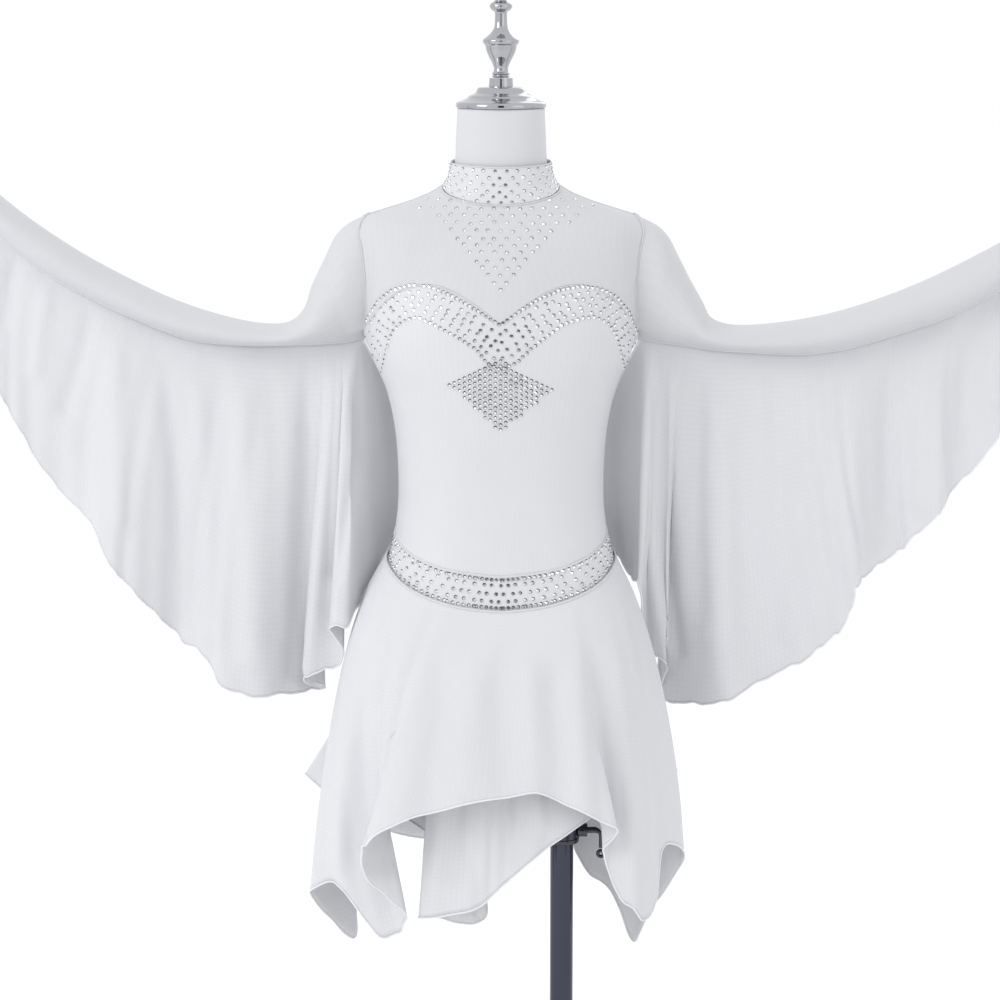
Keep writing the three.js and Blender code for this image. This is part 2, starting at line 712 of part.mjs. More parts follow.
// The armhole edge, once round from the shoulder point towards the front.
function armholePoint(side, around) {
  const radians = around * 2 * Math.PI;
  const halfHeight = ARMHOLE_HALF_HEIGHT - ARMHOLE_INSET;
  const z = ARMHOLE_CENTRE_Z + halfHeight * Math.cos(radians);
  const swing = Math.pow(Math.abs(Math.sin(radians)), 2 * ARMHOLE_FLATNESS);
  const cut = ARMHOLE_FRONT_TURN * ARMHOLE_NARROWING * swing;
  const turn = 90 - Math.sign(Math.sin(radians)) * cut;
  return overBody(side * turn, sectionAtHeight(z), PANEL_CLEAR + 0.4);
}

function sleeveSectionPoint(side, sections, place, around) {
  const column = (name) => smoothColumn(sections, name, place);
  const radians = around * 2 * Math.PI;
  const share = (1 + Math.cos(radians)) / 2;
  const x = THREE.MathUtils.lerp(column("underX"), column("topX"), share);
  const z = THREE.MathUtils.lerp(column("underZ"), column("topZ"), share);
  return new THREE.Vector3(side * x, -column("depth") * Math.sin(radians), z);
}

function sleeveGrid(side, sections) {
  return sampleGrid(
    14,
    14,
    (around, along) => {
      const place = along * (sections.length - 1);
      if (along === 0) return armholePoint(side, around);
      return sleeveSectionPoint(side, sections, place, around);
    },
    true,
  );
}

const WING_SEAM_DROP = KNIT_WALL / 2 + SEAM_GAP + 0.5;

const WING_COLUMNS = 44;
const WING_ROWS = 6;
// How far each wing's inner edge curves in behind the body, and over how many folds.
const TUCK_INWARD = 20;
const TUCK_BACK = 26;
const TUCK_FOLDS = 2.2;

function wingGrid(side, sections, folds) {
  return sampleGrid(WING_COLUMNS, WING_ROWS, (across, down) => {
    const place = across * (folds.length - 1);
    const column = (name) => smoothColumn(folds, name, place);
    const seam = sleeveSectionPoint(side, sections, column("seam"), 0.5);
    seam.z -= WING_SEAM_DROP;
    const hem = new THREE.Vector3(side * column("x"), column("y"), column("z"));
    const tuck = Math.max(0, 1 - place / TUCK_FOLDS) * Math.sin(Math.PI * down);
    const point = seam.lerp(hem, down);
    point.x -= side * TUCK_INWARD * tuck;
    point.y += TUCK_BACK * tuck;
    return point;
  });
}

// ---- The form and the stand ---------------------------------------------------------

function formRings(columns, rings) {
  const last = FORM_SECTIONS.length - 1;
  return Array.from({ length: rings }, (_, ring) =>
    Array.from({ length: columns }, (__, i) => {
      const turn = (i / columns) * 360;
      const section = (ring / (rings - 1)) * last;
      return bodyPoint(turn, section);
    }),
  );
}

const BRIEF_WALL = 1.4;
const BRIEF_CLEAR = 2.8;
const BRIEF_TOP_DROP = 12;
const BRIEF_COLUMNS = 24;
const BRIEF_RINGS = 7;
const GUSSET_HALF_WIDTH = 30;
// The brief's leg opening, from the gusset up and out over the hip.
const LEG_LOW_Z = 740;
const LEG_GUSSET_TOP_Z = 778;
const LEG_CURVE_X = 52;
const LEG_CURVE_Z = 830;
const LEG_HIP_X = 170;
const LEG_HIP_Z = 872;
const LEG_OUTER_X = 190;
const LEG_CUT_DEPTH = 400;
// How much narrower the brief's underside is than its lowest ring.
const UNDERSIDE_SHARE = 0.97;

// The brief is a shell under the form's hips, cut off below the waist and at each leg.
function briefGeometry() {
  const outer = solidFrom(loftSolid(briefRings(BRIEF_CLEAR + BRIEF_WALL)));
  const inner = solidFrom(loftSolid(briefRings(BRIEF_CLEAR)));
  const legCut = new THREE.Shape();
  legCut.moveTo(GUSSET_HALF_WIDTH, LEG_LOW_Z);
  legCut.lineTo(GUSSET_HALF_WIDTH, LEG_GUSSET_TOP_Z);
  legCut.quadraticCurveTo(LEG_CURVE_X, LEG_CURVE_Z, LEG_HIP_X, LEG_HIP_Z);
  legCut.lineTo(LEG_OUTER_X, LEG_LOW_Z);
  legCut.closePath();
  const cut = { depth: LEG_CUT_DEPTH, bevelEnabled: false, curveSegments: 8 };
  const leg = new THREE.ExtrudeGeometry(legCut, cut);
  leg.rotateX(Math.PI / 2).translate(0, LEG_CUT_DEPTH / 2, 0);
  const otherLeg = leg.clone().rotateZ(Math.PI);
  return geometryOf(outer.subtract(inner).subtract(solidFrom(leg)).subtract(solidFrom(otherLeg)));
}

// Rings of the brief's surface: from below the skirt seam down and across under the form.
// The hollow's rings start and end higher, so that the shell is open at the top alone.
function briefRings(clear) {
  const last = FORM_SECTIONS.length - 1;
  const raised = clear > BRIEF_CLEAR ? 0 : 1;
  const rings = Array.from({ length: BRIEF_RINGS }, (_, ring) =>
    Array.from({ length: BRIEF_COLUMNS }, (__, i) => {
      const turn = (i / BRIEF_COLUMNS) * 360;
      const seam = sectionAtHeight(styleLine(SKIRT_SEAM_LINE, turn) - BRIEF_TOP_DROP + raised);
      return overBody(turn, THREE.MathUtils.lerp(seam, last, ring / (BRIEF_RINGS - 1)), clear);
    }),
  );
  const underside = FORM_SECTIONS[last].z - clear;
  const lowest = rings[rings.length - 1];
  rings.push(
    lowest.map(
      ({ x, y }) => new THREE.Vector3(x * UNDERSIDE_SHARE, y * UNDERSIDE_SHARE, underside),
    ),
  );
  return rings;
}

function buildForm(parent) {
  addPiece(parent, "form_torso", loftSolid(formRings(26, 24)), finishes.formCloth);
  addPiece(parent, "neck_cap", turned(CAP_OUTLINE, 24), finishes.chrome);
  addPiece(parent, "finial", turned(FINIAL_OUTLINE, 14), finishes.chrome);
}

// A round bar along X, for the screw and the holes it runs in.
function barAlongX(radius, fromX, toX) {
  const bar = new THREE.CylinderGeometry(radius, radius, toX - fromX, ROD_SIDES);
  bar.rotateZ(Math.PI / 2).translate((fromX + toX) / 2, 0, SCREW_Z);
  return solidFrom(bar);
}

// The clamp's chamfer, and its boss, screw hole and screw, measured out from the pole's axis.
const CLAMP_CHAMFER = 1.5;
const BOSS_START = 16;
const BOSS_END = 28;
const HOLE_START = 5;
const HOLE_END = 30;
const SCREW_START = 14;
const SCREW_PLAY = 0.5;

// The clamp on top of the pole: an undivided collar with a boss for its screw.
function clampCollarGeometry() {
  const inside = POLE_RADIUS + SEAM_GAP;
  const low = POLE_TOP_Z - CLAMP_HEIGHT;
  const ring = [
    [inside, low],
    [CLAMP_RADIUS - CLAMP_CHAMFER, low],
    [CLAMP_RADIUS, low + CLAMP_CHAMFER],
    [CLAMP_RADIUS, POLE_TOP_Z - CLAMP_CHAMFER],
    [CLAMP_RADIUS - CLAMP_CHAMFER, POLE_TOP_Z],
    [inside, POLE_TOP_Z],
    [inside, low],
  ];
  const boss = barAlongX(SCREW_BOSS_RADIUS, POLE_X + BOSS_START, POLE_X + BOSS_END);
  const hole = barAlongX(SCREW_RADIUS + SCREW_PLAY, POLE_X + HOLE_START, POLE_X + HOLE_END);
  return geometryOf(solidFrom(turned(ring, 24, POLE_X)).add(boss).subtract(hole));
}

// The clamp's screw, bent down into a lever with a round knob.
function clampLeverGeometry() {
  const screw = barAlongX(SCREW_RADIUS, POLE_X + SCREW_START, LEVER_X);
  const arm = new THREE.CylinderGeometry(SCREW_RADIUS, SCREW_RADIUS, LEVER_DROP, ROD_SIDES);
  arm.rotateX(Math.PI / 2).translate(LEVER_X, 0, SCREW_Z - LEVER_DROP / 2);
  const elbow = new THREE.SphereGeometry(ELBOW_RADIUS, ROD_SIDES, 8);
  elbow.translate(LEVER_X, 0, SCREW_Z);
  const knob = new THREE.SphereGeometry(LEVER_KNOB_RADIUS, 12, 8);
  knob.translate(LEVER_X, 0, SCREW_Z - LEVER_DROP);
  return geometryOf(screw.add(solidFrom(arm)).add(solidFrom(elbow)).add(solidFrom(knob)));
}

// The mast's flange stays this far below the form, and is this much thicker at its middle.
const FLANGE_GAP = 3;
const FLANGE_SLOPE = 4;
// The base's dome, from the ring under the pole out to the rounded rim.
const BASE_DOME_RADIUS = 70;
const BASE_CROWN_RADIUS = 20;
const BASE_EDGE = 2;
const BASE_SHOULDER = 3;

function buildStand(parent) {
  const flangeTop = FORM_SECTIONS[FORM_SECTIONS.length - 1].z - FLANGE_GAP;
  const mast = [
    [0, MAST_FOOT_Z],
    [MAST_RADIUS, MAST_FOOT_Z],
    [MAST_RADIUS, flangeTop - FLANGE_HEIGHT],
    [FLANGE_RADIUS, flangeTop - FLANGE_HEIGHT + FLANGE_SLOPE],
    [FLANGE_RADIUS, flangeTop],
    [0, flangeTop],
  ];
  addPiece(parent, "mast", turned(mast, 20, POLE_X), finishes.chrome);
  addPiece(parent, "clamp_collar", clampCollarGeometry(), finishes.chrome);
  addPiece(parent, "clamp_lever", clampLeverGeometry(), finishes.chrome);
  const pole = [
    [POLE_BORE_RADIUS, BASE_HEIGHT + SEAM_GAP],
    [POLE_RADIUS, BASE_HEIGHT + SEAM_GAP],
    [POLE_RADIUS, POLE_TOP_Z],
    [POLE_BORE_RADIUS, POLE_TOP_Z],
    [POLE_BORE_RADIUS, BASE_HEIGHT + SEAM_GAP],
  ];
  addPiece(parent, "pole", turned(pole, 24, POLE_X), finishes.chrome);
  const base = [
    [0, 0],
    [BASE_RADIUS - BASE_EDGE, 0],
    [BASE_RADIUS, BASE_EDGE],
    [BASE_RADIUS, BASE_RIM_HEIGHT - BASE_EDGE],
    [BASE_RADIUS - BASE_SHOULDER, BASE_RIM_HEIGHT],
    [BASE_DOME_RADIUS, BASE_HEIGHT - BASE_EDGE],
    [BASE_CROWN_RADIUS, BASE_HEIGHT],
    [0, BASE_HEIGHT],
  ];
  addPiece(parent, "base", turned(base, 40, POLE_X), finishes.chrome);
}

// ---- The finished object ------------------------------------------------------------

const collarBackLine = dressBackLine(COLLAR_SEAM_LINE);
const waistBackLine = dressBackLine(WAIST_SEAM_LINE);
const frontTopLine = bodiceTopLine(SWEETHEART_LINE);
const backTopLine = bodiceTopLine(BACK_YOKE_LINE);
const yokeFront = yokeGrid(0, COLLAR_SEAM_LINE, frontTopLine, 10);
const yokeBack = yokeGrid(180, collarBackLine, backTopLine, 10);
const bodiceFront = bodiceGrid(0, frontTopLine, WAIST_SEAM_LINE, 8);
const bodiceBack = bodiceGrid(180, backTopLine, waistBackLine, 8);

addPiece(dress, "collar", wall(collarGrid(), KNIT_WALL, true), finishes.mesh);
addPiece(dress, "yoke_front", wall(yokeFront, KNIT_WALL), finishes.mesh);
addPiece(dress, "yoke_back", wall(yokeBack, KNIT_WALL), finishes.mesh);
addPiece(dress, "bodice_front", wall(bodiceFront, KNIT_WALL), finishes.spandex);
addPiece(dress, "bodice_back", wall(bodiceBack, KNIT_WALL), finishes.spandex);
addPiece(dress, "waist_band", wall(waistBandGrid(), KNIT_WALL, true), finishes.spandex);
addPiece(dress, "brief", briefGeometry(), finishes.spandex);

const OUTER_SKIRT_SHAPE = {
  clear: OUTER_SKIRT_CLEAR,
  hipLean: -5,
  flareLean: -11,
  hip: 183,
  hipFront: 125,
  hipBack: 142,
  flare: 208,
  flareFront: 150,
  flareBack: 154,
};
const UNDER_SKIRT_SHAPE = {
  clear: UNDER_SKIRT_CLEAR,
  hipLean: -3,
  flareLean: -3,
  hip: 169,
  hipFront: 116,
  hipBack: 132,
  flare: 150,
  flareFront: 122,
  flareBack: 126,
};
addPiece(
  dress,
  "skirt_outer",
  wall(skirtGrid(100, 7, OUTER_SKIRT_FOLDS, OUTER_SKIRT_SHAPE), CHIFFON_WALL, true),
  finishes.chiffon,
);
addPiece(
  dress,
  "skirt_under",
  wall(skirtGrid(52, 6, UNDER_SKIRT_FOLDS, UNDER_SKIRT_SHAPE), CHIFFON_WALL, true),
  finishes.chiffon,
);

for (const arm of [
  { name: "left", side: 1, sections: LEFT_SLEEVE_SECTIONS, folds: LEFT_WING_FOLDS },
  { name: "right", side: -1, sections: RIGHT_SLEEVE_SECTIONS, folds: RIGHT_WING_FOLDS },
]) {
  const sleeve = wall(sleeveGrid(arm.side, arm.sections), KNIT_WALL, true);
  addPiece(dress, "sleeve_" + arm.name, sleeve, finishes.mesh);
  const wing = wall(wingGrid(arm.side, arm.sections, arm.folds), CHIFFON_WALL);
  addPiece(dress, "wing_" + arm.name, wing, finishes.chiffon);
}

buildForm(dress);
buildStand(dress);

export default dress;
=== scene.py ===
"""A figure skating dress on its dress form: the looks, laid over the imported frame."""

import json
import math

import bmesh
import bpy
import numpy as np
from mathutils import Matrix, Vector
from mathutils.bvhtree import BVHTree

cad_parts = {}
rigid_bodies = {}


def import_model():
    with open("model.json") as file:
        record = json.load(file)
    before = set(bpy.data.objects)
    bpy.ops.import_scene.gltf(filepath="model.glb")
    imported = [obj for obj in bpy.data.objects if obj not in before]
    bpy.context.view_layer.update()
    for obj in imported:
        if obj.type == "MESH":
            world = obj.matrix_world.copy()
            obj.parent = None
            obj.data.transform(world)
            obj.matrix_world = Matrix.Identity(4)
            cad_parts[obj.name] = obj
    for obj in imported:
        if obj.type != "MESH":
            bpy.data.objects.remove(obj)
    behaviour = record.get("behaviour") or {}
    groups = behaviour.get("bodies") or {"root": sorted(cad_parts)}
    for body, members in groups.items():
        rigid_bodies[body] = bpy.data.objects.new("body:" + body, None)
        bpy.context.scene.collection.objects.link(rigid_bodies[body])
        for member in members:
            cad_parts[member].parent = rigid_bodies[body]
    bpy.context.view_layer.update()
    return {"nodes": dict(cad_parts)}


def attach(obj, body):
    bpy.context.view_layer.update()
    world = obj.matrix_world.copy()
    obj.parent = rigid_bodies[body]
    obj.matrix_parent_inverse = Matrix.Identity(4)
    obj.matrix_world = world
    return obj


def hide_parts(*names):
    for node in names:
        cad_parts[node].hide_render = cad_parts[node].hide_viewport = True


bl_info = {
    "name": "Figure skating dress",
    "version": (1, 0, 0),
    "blender": (4, 5, 0),
    "location": "3D View > Sidebar > Skating dress",
    "description": "Sews a stoned skating dress over its dress form and stand",
    "category": "Object",
}

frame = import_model()
CAD_NODES = frame["nodes"]

MM = 0.001
DRESSED = "dressed_form"
STAND = "stand"
LEVER = "lever"
POLE_X = 0.067


# ---- Sizes and colours


def length(name, description, default):
    return bpy.props.FloatProperty(
        name=name, description=description, default=default, min=0.0, unit="LENGTH", precision=4
    )


def colour(name, description, default):
    return bpy.props.FloatVectorProperty(
        name=name, description=description, default=default, size=3, min=0.0, max=1.0, subtype="COLOR"
    )


class DressSizes(bpy.types.PropertyGroup):
    knit: length("Knit thickness", "Wall of the bodice, yoke, collar and sleeves", 0.0008)
    chiffon: length("Chiffon thickness", "Wall of the wings and skirts", 0.0006)
    hem: length("Hem radius", "Half thickness of a rolled chiffon hem", 0.0010)
    seam: length("Seam radius", "Half thickness of the ridge along a sewn seam", 0.0007)
    crystal: length("Crystal width", "Width of a crystal on the bodice, yoke and collar", 0.0040)
    band_crystal: length("Band crystal width", "Width of a crystal on the waist band", 0.0043)
    motif_pitch: length("Motif pitch", "Distance between crystals in the diamond", 0.0053)


class DressColours(bpy.types.PropertyGroup):
    chiffon: colour("Chiffon", "Skirts and wings", (0.702, 0.708, 0.729))
    mesh_knit: colour("Mesh knit", "Yoke and sleeves", (0.64, 0.645, 0.664))
    spandex: colour("Spandex", "Bodice, collar, waist band and brief", (0.645, 0.649, 0.668))
    form_cover: colour("Form cover", "Knit cover of the dress form", (0.625, 0.629, 0.645))
    chrome: colour("Chrome", "Cap and finial", (0.42, 0.425, 0.445))
    pole: colour("Pole", "Dark polished pole and mast", (0.06, 0.063, 0.085))
    clamp: colour("Clamp", "Dark polished clamp and lever", (0.07, 0.072, 0.085))
    base: colour("Base", "Brushed steel base plate", (0.55, 0.56, 0.58))


class StageSettings(bpy.types.PropertyGroup):
    floor: colour("Floor", "Pale floor", (0.96, 0.96, 0.965))
    key_power: bpy.props.FloatProperty(
        name="Key light", description="Power of the large softbox", default=33.0, min=0.0, unit="POWER"
    )
    sky: bpy.props.FloatProperty(
        name="Room light", description="Strength of the even studio light", default=1.075, min=0.0
    )


# ---- Grids of cloth


def merged_copy(node):
    """A CAD node's mesh with its loose triangles joined up."""
    loose = bmesh.new()
    loose.from_mesh(CAD_NODES[node].data)
    bmesh.ops.remove_doubles(loose, verts=loose.verts, dist=1e-5)
    return loose


def beside(point):
    """The points that edges join to this one."""
    return [e.other_vert(point) for e in point.link_edges]


def on_rim(point):
    return any(e.is_boundary for e in point.link_edges)


def islands(cloth):
    """The separate groups of points in a mesh."""
    left = set(cloth.verts)
    groups = []
    while left:
        group, edge = set(), {left.pop()}
        while edge:
            group |= edge
            edge = {other for v in edge for other in beside(v)} - group
        left -= group
        groups.append(group)
    return groups


def run_along(members, start, second=None):
    """The points of one row in order, from its start, by the edges between them."""
    order = [v for v in (start, second) if v is not None]
    seen = set(order)
    while len(order) < len(members):
        ahead = [v for v in beside(order[-1]) if v in members and v not in seen]
        if not ahead:
            raise RuntimeError("a row of the cloth is broken")
        order.append(ahead[0])
        seen.add(ahead[0])
    return order


def next_rows(first_row, group):
    """Rows of points under the first one, each one edge further down."""
    rows, seen = [set(first_row)], set(first_row)
    while len(seen) < len(group):
        row = {other for v in rows[-1] for other in beside(v)} - seen
        rows.append(row)
        seen |= row
    return rows


def gap(row, other):
    return sum((a.co - b.co).length for a, b in zip(row, other))


def tube_rows(group, first):
    """Rows round a tube, lined up under each other. first gives the end to start from."""
    start = min((v for v in group if on_rim(v)), key=first)
    rim, ahead = {start}, {start}
    while ahead:
        ahead = {e.other_vert(v) for v in ahead for e in v.link_edges if e.is_boundary} - rim
        rim |= ahead
    rows = next_rows(rim, group)
    ordered = [run_along(rows[0], start)]
    for row in rows[1:]:
        tries = [
            run_along(row, begin, second)
            for begin in beside(ordered[-1][0]) if begin in row
            for second in beside(begin) if second in row
        ]
        ordered.append(min(tries, key=lambda one: gap(one, ordered[-1])))
    return ordered


def panel_rows(group, first):
    """Rows across an open panel. first gives the side to start from, of its two longer ones."""
    corners = [v for v in group if on_rim(v) and len(v.link_edges) <= 3]
    sides = []
    for corner in corners:
        for edge in (e for e in corner.link_edges if e.is_boundary):
            side, v = [corner], edge.other_vert(corner)
            while v not in corners:
                side.append(v)
                v = next(
                    e.other_vert(v)
                    for e in v.link_edges
                    if e.is_boundary and e.other_vert(v) not in side
                )
            sides.append(side + [v])
    longest = max(len(side) for side in sides)
    top = min((s for s in sides if len(s) == longest), key=lambda s: sum(map(first, s)) / len(s))
    rows = next_rows(top, group)
    ordered = [top]
    for row in rows[1:]:
        above = ordered[-1][0]
        ends = [v for v in row if sum(other in row for other in beside(v)) == 1]
        start = min(ends, key=lambda v: (v.co - above.co).length)
        ordered.append(run_along(row, start))
    return ordered


def height(point):
    return -point.co.z


def reach(point):
    return abs(point.co.x)


def spread(point):
    return sum(face.calc_area() for face in point.link_faces)


def frontness(point):
    return -point.normal.y


def cloth_grid(node, wall, closed, first=height, facing=spread):
    """The outer layer of a CAD cloth wall as a grid, [row, column, xyz]. facing tells outside."""
    cloth = merged_copy(node)
    rim = [f for f in cloth.faces if any(abs(e.calc_length() - wall) < 2e-5 for e in f.edges)]
    bmesh.ops.delete(cloth, geom=rim, context="FACES")
    cloth.normal_update()
    layers = islands(cloth)
    if len(layers) != 2:
        raise RuntimeError(f"{node} has {len(layers)} layers, not 2")
    outer = max(layers, key=lambda group: sum(facing(v) for v in group))
    rows = (tube_rows if closed else panel_rows)(outer, first)
    grid = np.array([[v.co[:] for v in row] for row in rows])
    out = sum(np.dot(n, v.normal) for n, v in zip(grid_normals(grid, closed)[1], rows[1]))
    cloth.free()
    return grid if out > 0 else grid[:, ::-1]


def unit(vectors):
    """Vectors along the last axis, at length 1."""
    return vectors / np.maximum(np.linalg.norm(vectors, axis=-1, keepdims=True), 1e-9)


def grid_normals(grid, closed):
    """Unit normals of a grid: down the rows, crossed with along them."""
    if closed:
        along = np.roll(grid, -1, axis=1) - np.roll(grid, 1, axis=1)
    else:
        along = np.gradient(grid, axis=1)
    down = np.gradient(grid, axis=0)
    return unit(np.cross(down, along))


def spaced(points, count, closed):
    """Points on a smooth curve through the given ones, evenly spaced in their order."""
    total = len(points)
    spans = total if closed else total - 1
    place = np.arange(count) * spans / (count if closed else count - 1)
    at = np.minimum(place.astype(int), spans - 1)
    t = (place - at).reshape((-1,) + (1,) * (points.ndim - 1))
    if closed:
        a, b, c, d = (points[(at + k) % total] for k in (-1, 0, 1, 2))
    else:
        ends = [2 * points[:1] - points[1:2], points, 2 * points[-1:] - points[-2:-1]]
        held = np.concatenate(ends)
        a, b, c, d = (held[at + k] for k in (0, 1, 2, 3))
    slope, turn = (c - a) / 2, (d - b) / 2
    return b + slope * t + (3 * (c - b) - 2 * slope - turn) * t**2 + (2 * (b - c) + slope + turn) * t**3


def finer(grid, rows, columns, closed):
    """The grid with more rows and columns, on the same smooth surface."""
    across = spaced(np.swapaxes(grid, 0, 1), columns, closed)
    return spaced(np.swapaxes(across, 0, 1), rows, False)


# ---- Soft folds


FACING = 3.5
FADE_IN = 0.3


def eased(share):
    """A share held between 0 and 1, with a soft start and end."""
    share = np.clip(share, 0, 1)
    return share * share * (3 - 2 * share)


def pressed(grid, closed, folds, front=True):
    """The grid with soft folds. A fold is (half width, depth, line of (x, z)), in millimetres,
    and it fades in from the line's upper end. A depth below 0 is a valley."""
    normal = grid_normals(grid, closed)
    x, z = grid[..., 0] / MM, grid[..., 2] / MM
    toward = np.clip((-FACING if front else FACING) * normal[..., 1], 0, 1)
    lift = np.zeros(x.shape)
    for half_width, depth, line in folds:
        nearest, share = np.full(x.shape, 1e9), np.zeros(x.shape)
        for i, ((x0, z0), (x1, z1)) in enumerate(zip(line, line[1:])):
            run = (x1 - x0) ** 2 + (z1 - z0) ** 2
            t = np.clip(((x - x0) * (x1 - x0) + (z - z0) * (z1 - z0)) / run, 0, 1)
            away = np.hypot(x - x0 - t * (x1 - x0), z - z0 - t * (z1 - z0))
            closer = away < nearest
            nearest = np.where(closer, away, nearest)
            share = np.where(closer, (i + t) / (len(line) - 1), share)
        lift += depth * MM * np.exp(-((nearest / half_width) ** 2)) * eased(share / FADE_IN)
    return grid + normal * (lift * toward)[..., None]


def rippled(grid, closed, ripples):
    """The grid with shallow ripples that grow towards the hem. A ripple is (waves across the
    piece, phase, depth in millimetres, waves of sway from top to hem)."""
    rows, columns = grid.shape[:2]
    down = np.linspace(0, 1, rows)[:, None]
    across = (np.arange(columns) / (columns if closed else columns - 1))[None, :]
    lift = 0
    for waves, phase, depth, sway in ripples:
        angle = 2 * math.pi * (waves * across + phase) + sway * np.sin(math.pi * down)
        lift = lift + depth * MM * np.sin(angle) * down**0.8
    if not closed:
        lift = lift * np.sin(math.pi * np.clip(across, 0.004, 0.996)) ** 0.3
    return grid + grid_normals(grid, closed) * lift[..., None]


def uneven(grid, closed, bumps):
    """The grid with an uneven hem, drawn in and let out within the cloth. A bump is (waves
    along the hem, phase, size in millimetres)."""
    rows, columns = grid.shape[:2]
    fall = grid[-1] - grid[-4]
    fall /= np.linalg.norm(fall, axis=1)[:, None]
    across = np.arange(columns) / (columns if closed else columns - 1)
    size = sum(mm * MM * np.sin(2 * math.pi * (waves * across + phase)) for waves, phase, mm in bumps)
    if not closed:
        size = size * np.clip(np.minimum(across, 1 - across) / 0.06, 0, 1)
    near = (np.linspace(0, 1, rows) ** 9)[:, None, None]
    return grid + near * (size[:, None] * fall)[None]


# ---- Pieces


def nothing_selected():
    for piece in bpy.context.view_layer.objects:
        piece.select_set(False)


def made_active(piece):
    nothing_selected()
    bpy.context.view_layer.objects.active = piece
    piece.select_set(True)


def applied(piece, kind, **values):
    """Adds a modifier to a piece and applies it."""
    made_active(piece)
    modifier = piece.modifiers.new(kind.title(), kind)
    for name, value in values.items():
        setattr(modifier, name, value)
    bpy.ops.object.modifier_apply(modifier=modifier.name)


def linked(name, data):
    """A new object in the scene."""
    made = bpy.data.objects.new(name, data)
    bpy.context.scene.collection.objects.link(made)
    return made


def piece_from(name, points, faces, material, body=DRESSED):
    mesh = bpy.data.meshes.new(name)
    mesh.from_pydata([tuple(p) for p in points], [], faces)
    mesh.update()
    piece = linked(name, mesh)
    mesh.materials.append(material)
    mesh.polygons.foreach_set("use_smooth", [True] * len(mesh.polygons))
    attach(piece, body)
    return piece


def grid_faces(rows, columns, closed):
    spans = columns if closed else columns - 1
    return [
        (
            r * columns + c,
            (r + 1) * columns + c,
            (r + 1) * columns + (c + 1) % columns,
            r * columns + (c + 1) % columns,
        )
        for r in range(rows - 1)
        for c in range(spans)
    ]


def lay_weave(mesh, grid, closed):
    """The piece's own cloth coordinates, in metres along the rows and down them."""
    rows, columns = grid.shape[:2]
    ahead = np.roll(grid, -1, axis=1) if closed else grid[:, 1:]
    steps = np.linalg.norm(ahead - grid[:, : ahead.shape[1]], axis=2).mean(axis=0)
    u = np.concatenate([[0], np.cumsum(steps)])
    falls = np.linalg.norm(np.diff(grid, axis=0), axis=2).mean(axis=1)
    v = np.concatenate([[0], np.cumsum(falls)])
    layer = mesh.uv_layers.new(name="weave")
    spans = columns if closed else columns - 1
    for r in range(rows - 1):
        for c in range(spans):
            start = mesh.polygons[r * spans + c].loop_start
            corners = ((c, r), (c, r + 1), (c + 1, r + 1), (c + 1, r))
            for k, (i, j) in enumerate(corners):
                layer.data[start + k].uv = (u[i], v[j])


def cloth_piece(node, grid, closed, kind):
    """A sheet of cloth on a grid, thickened inwards, which stands for its CAD node."""
    GRIDS[node] = (grid, closed)
    sizes = bpy.context.scene.dress_sizes
    faces = grid_faces(*grid.shape[:2], closed)
    piece = piece_from(node + "_cloth", grid.reshape(-1, 3), faces, finish(kind))
    lay_weave(piece.data, grid, closed)
    wall = sizes.chiffon if kind == "chiffon" else sizes.knit
    applied(piece, "SOLIDIFY", thickness=wall, offset=-1.0)
    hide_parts(node)


NEARLY_Y = (0.03, 0.999, 0.02)


def cord_mesh(lines, radius, sides=6, across=NEARLY_Y):
    """Points and faces of round cords along lines, each (points, closed). The radius is one
    number, or one for each point."""
    points, faces = [], []
    for line, closed in lines:
        line = np.asarray(line)
        ahead, behind = np.roll(line, -1, axis=0), np.roll(line, 1, axis=0)
        along = unit(ahead - behind if closed else np.gradient(line, axis=0))
        side = unit(np.cross(along, across))
        over = np.cross(side, along)
        start, count = len(points), len(line)
        radii = np.broadcast_to(radius, count)
        for i in range(count):
            for k in range(sides):
                a = 2 * math.pi * k / sides
                points.append(line[i] + radii[i] * (math.cos(a) * side[i] + math.sin(a) * over[i]))
        for i in range(count if closed else count - 1):
            ring, following = start + i * sides, start + (i + 1) % count * sides
            for k in range(sides):
                j = (k + 1) % sides
                faces.append((ring + k, ring + j, following + j, following + k))
        if not closed:
            last = start + (count - 1) * sides
            faces.append(tuple(range(start, start + sides)))
            faces.append(tuple(reversed(range(last, last + sides))))
    return points, faces


def facing_out(piece):
    """Recalculates a closed piece's normals outwards."""
    made_active(piece)
    bpy.ops.object.mode_set(mode="EDIT")
    bpy.ops.mesh.select_all(action="SELECT")
    bpy.ops.mesh.normals_make_consistent(inside=False)
    bpy.ops.object.mode_set(mode="OBJECT")


def cords(name, lines, radius, material):
    facing_out(piece_from(name, *cord_mesh(lines, radius), material))


# ---- Materials


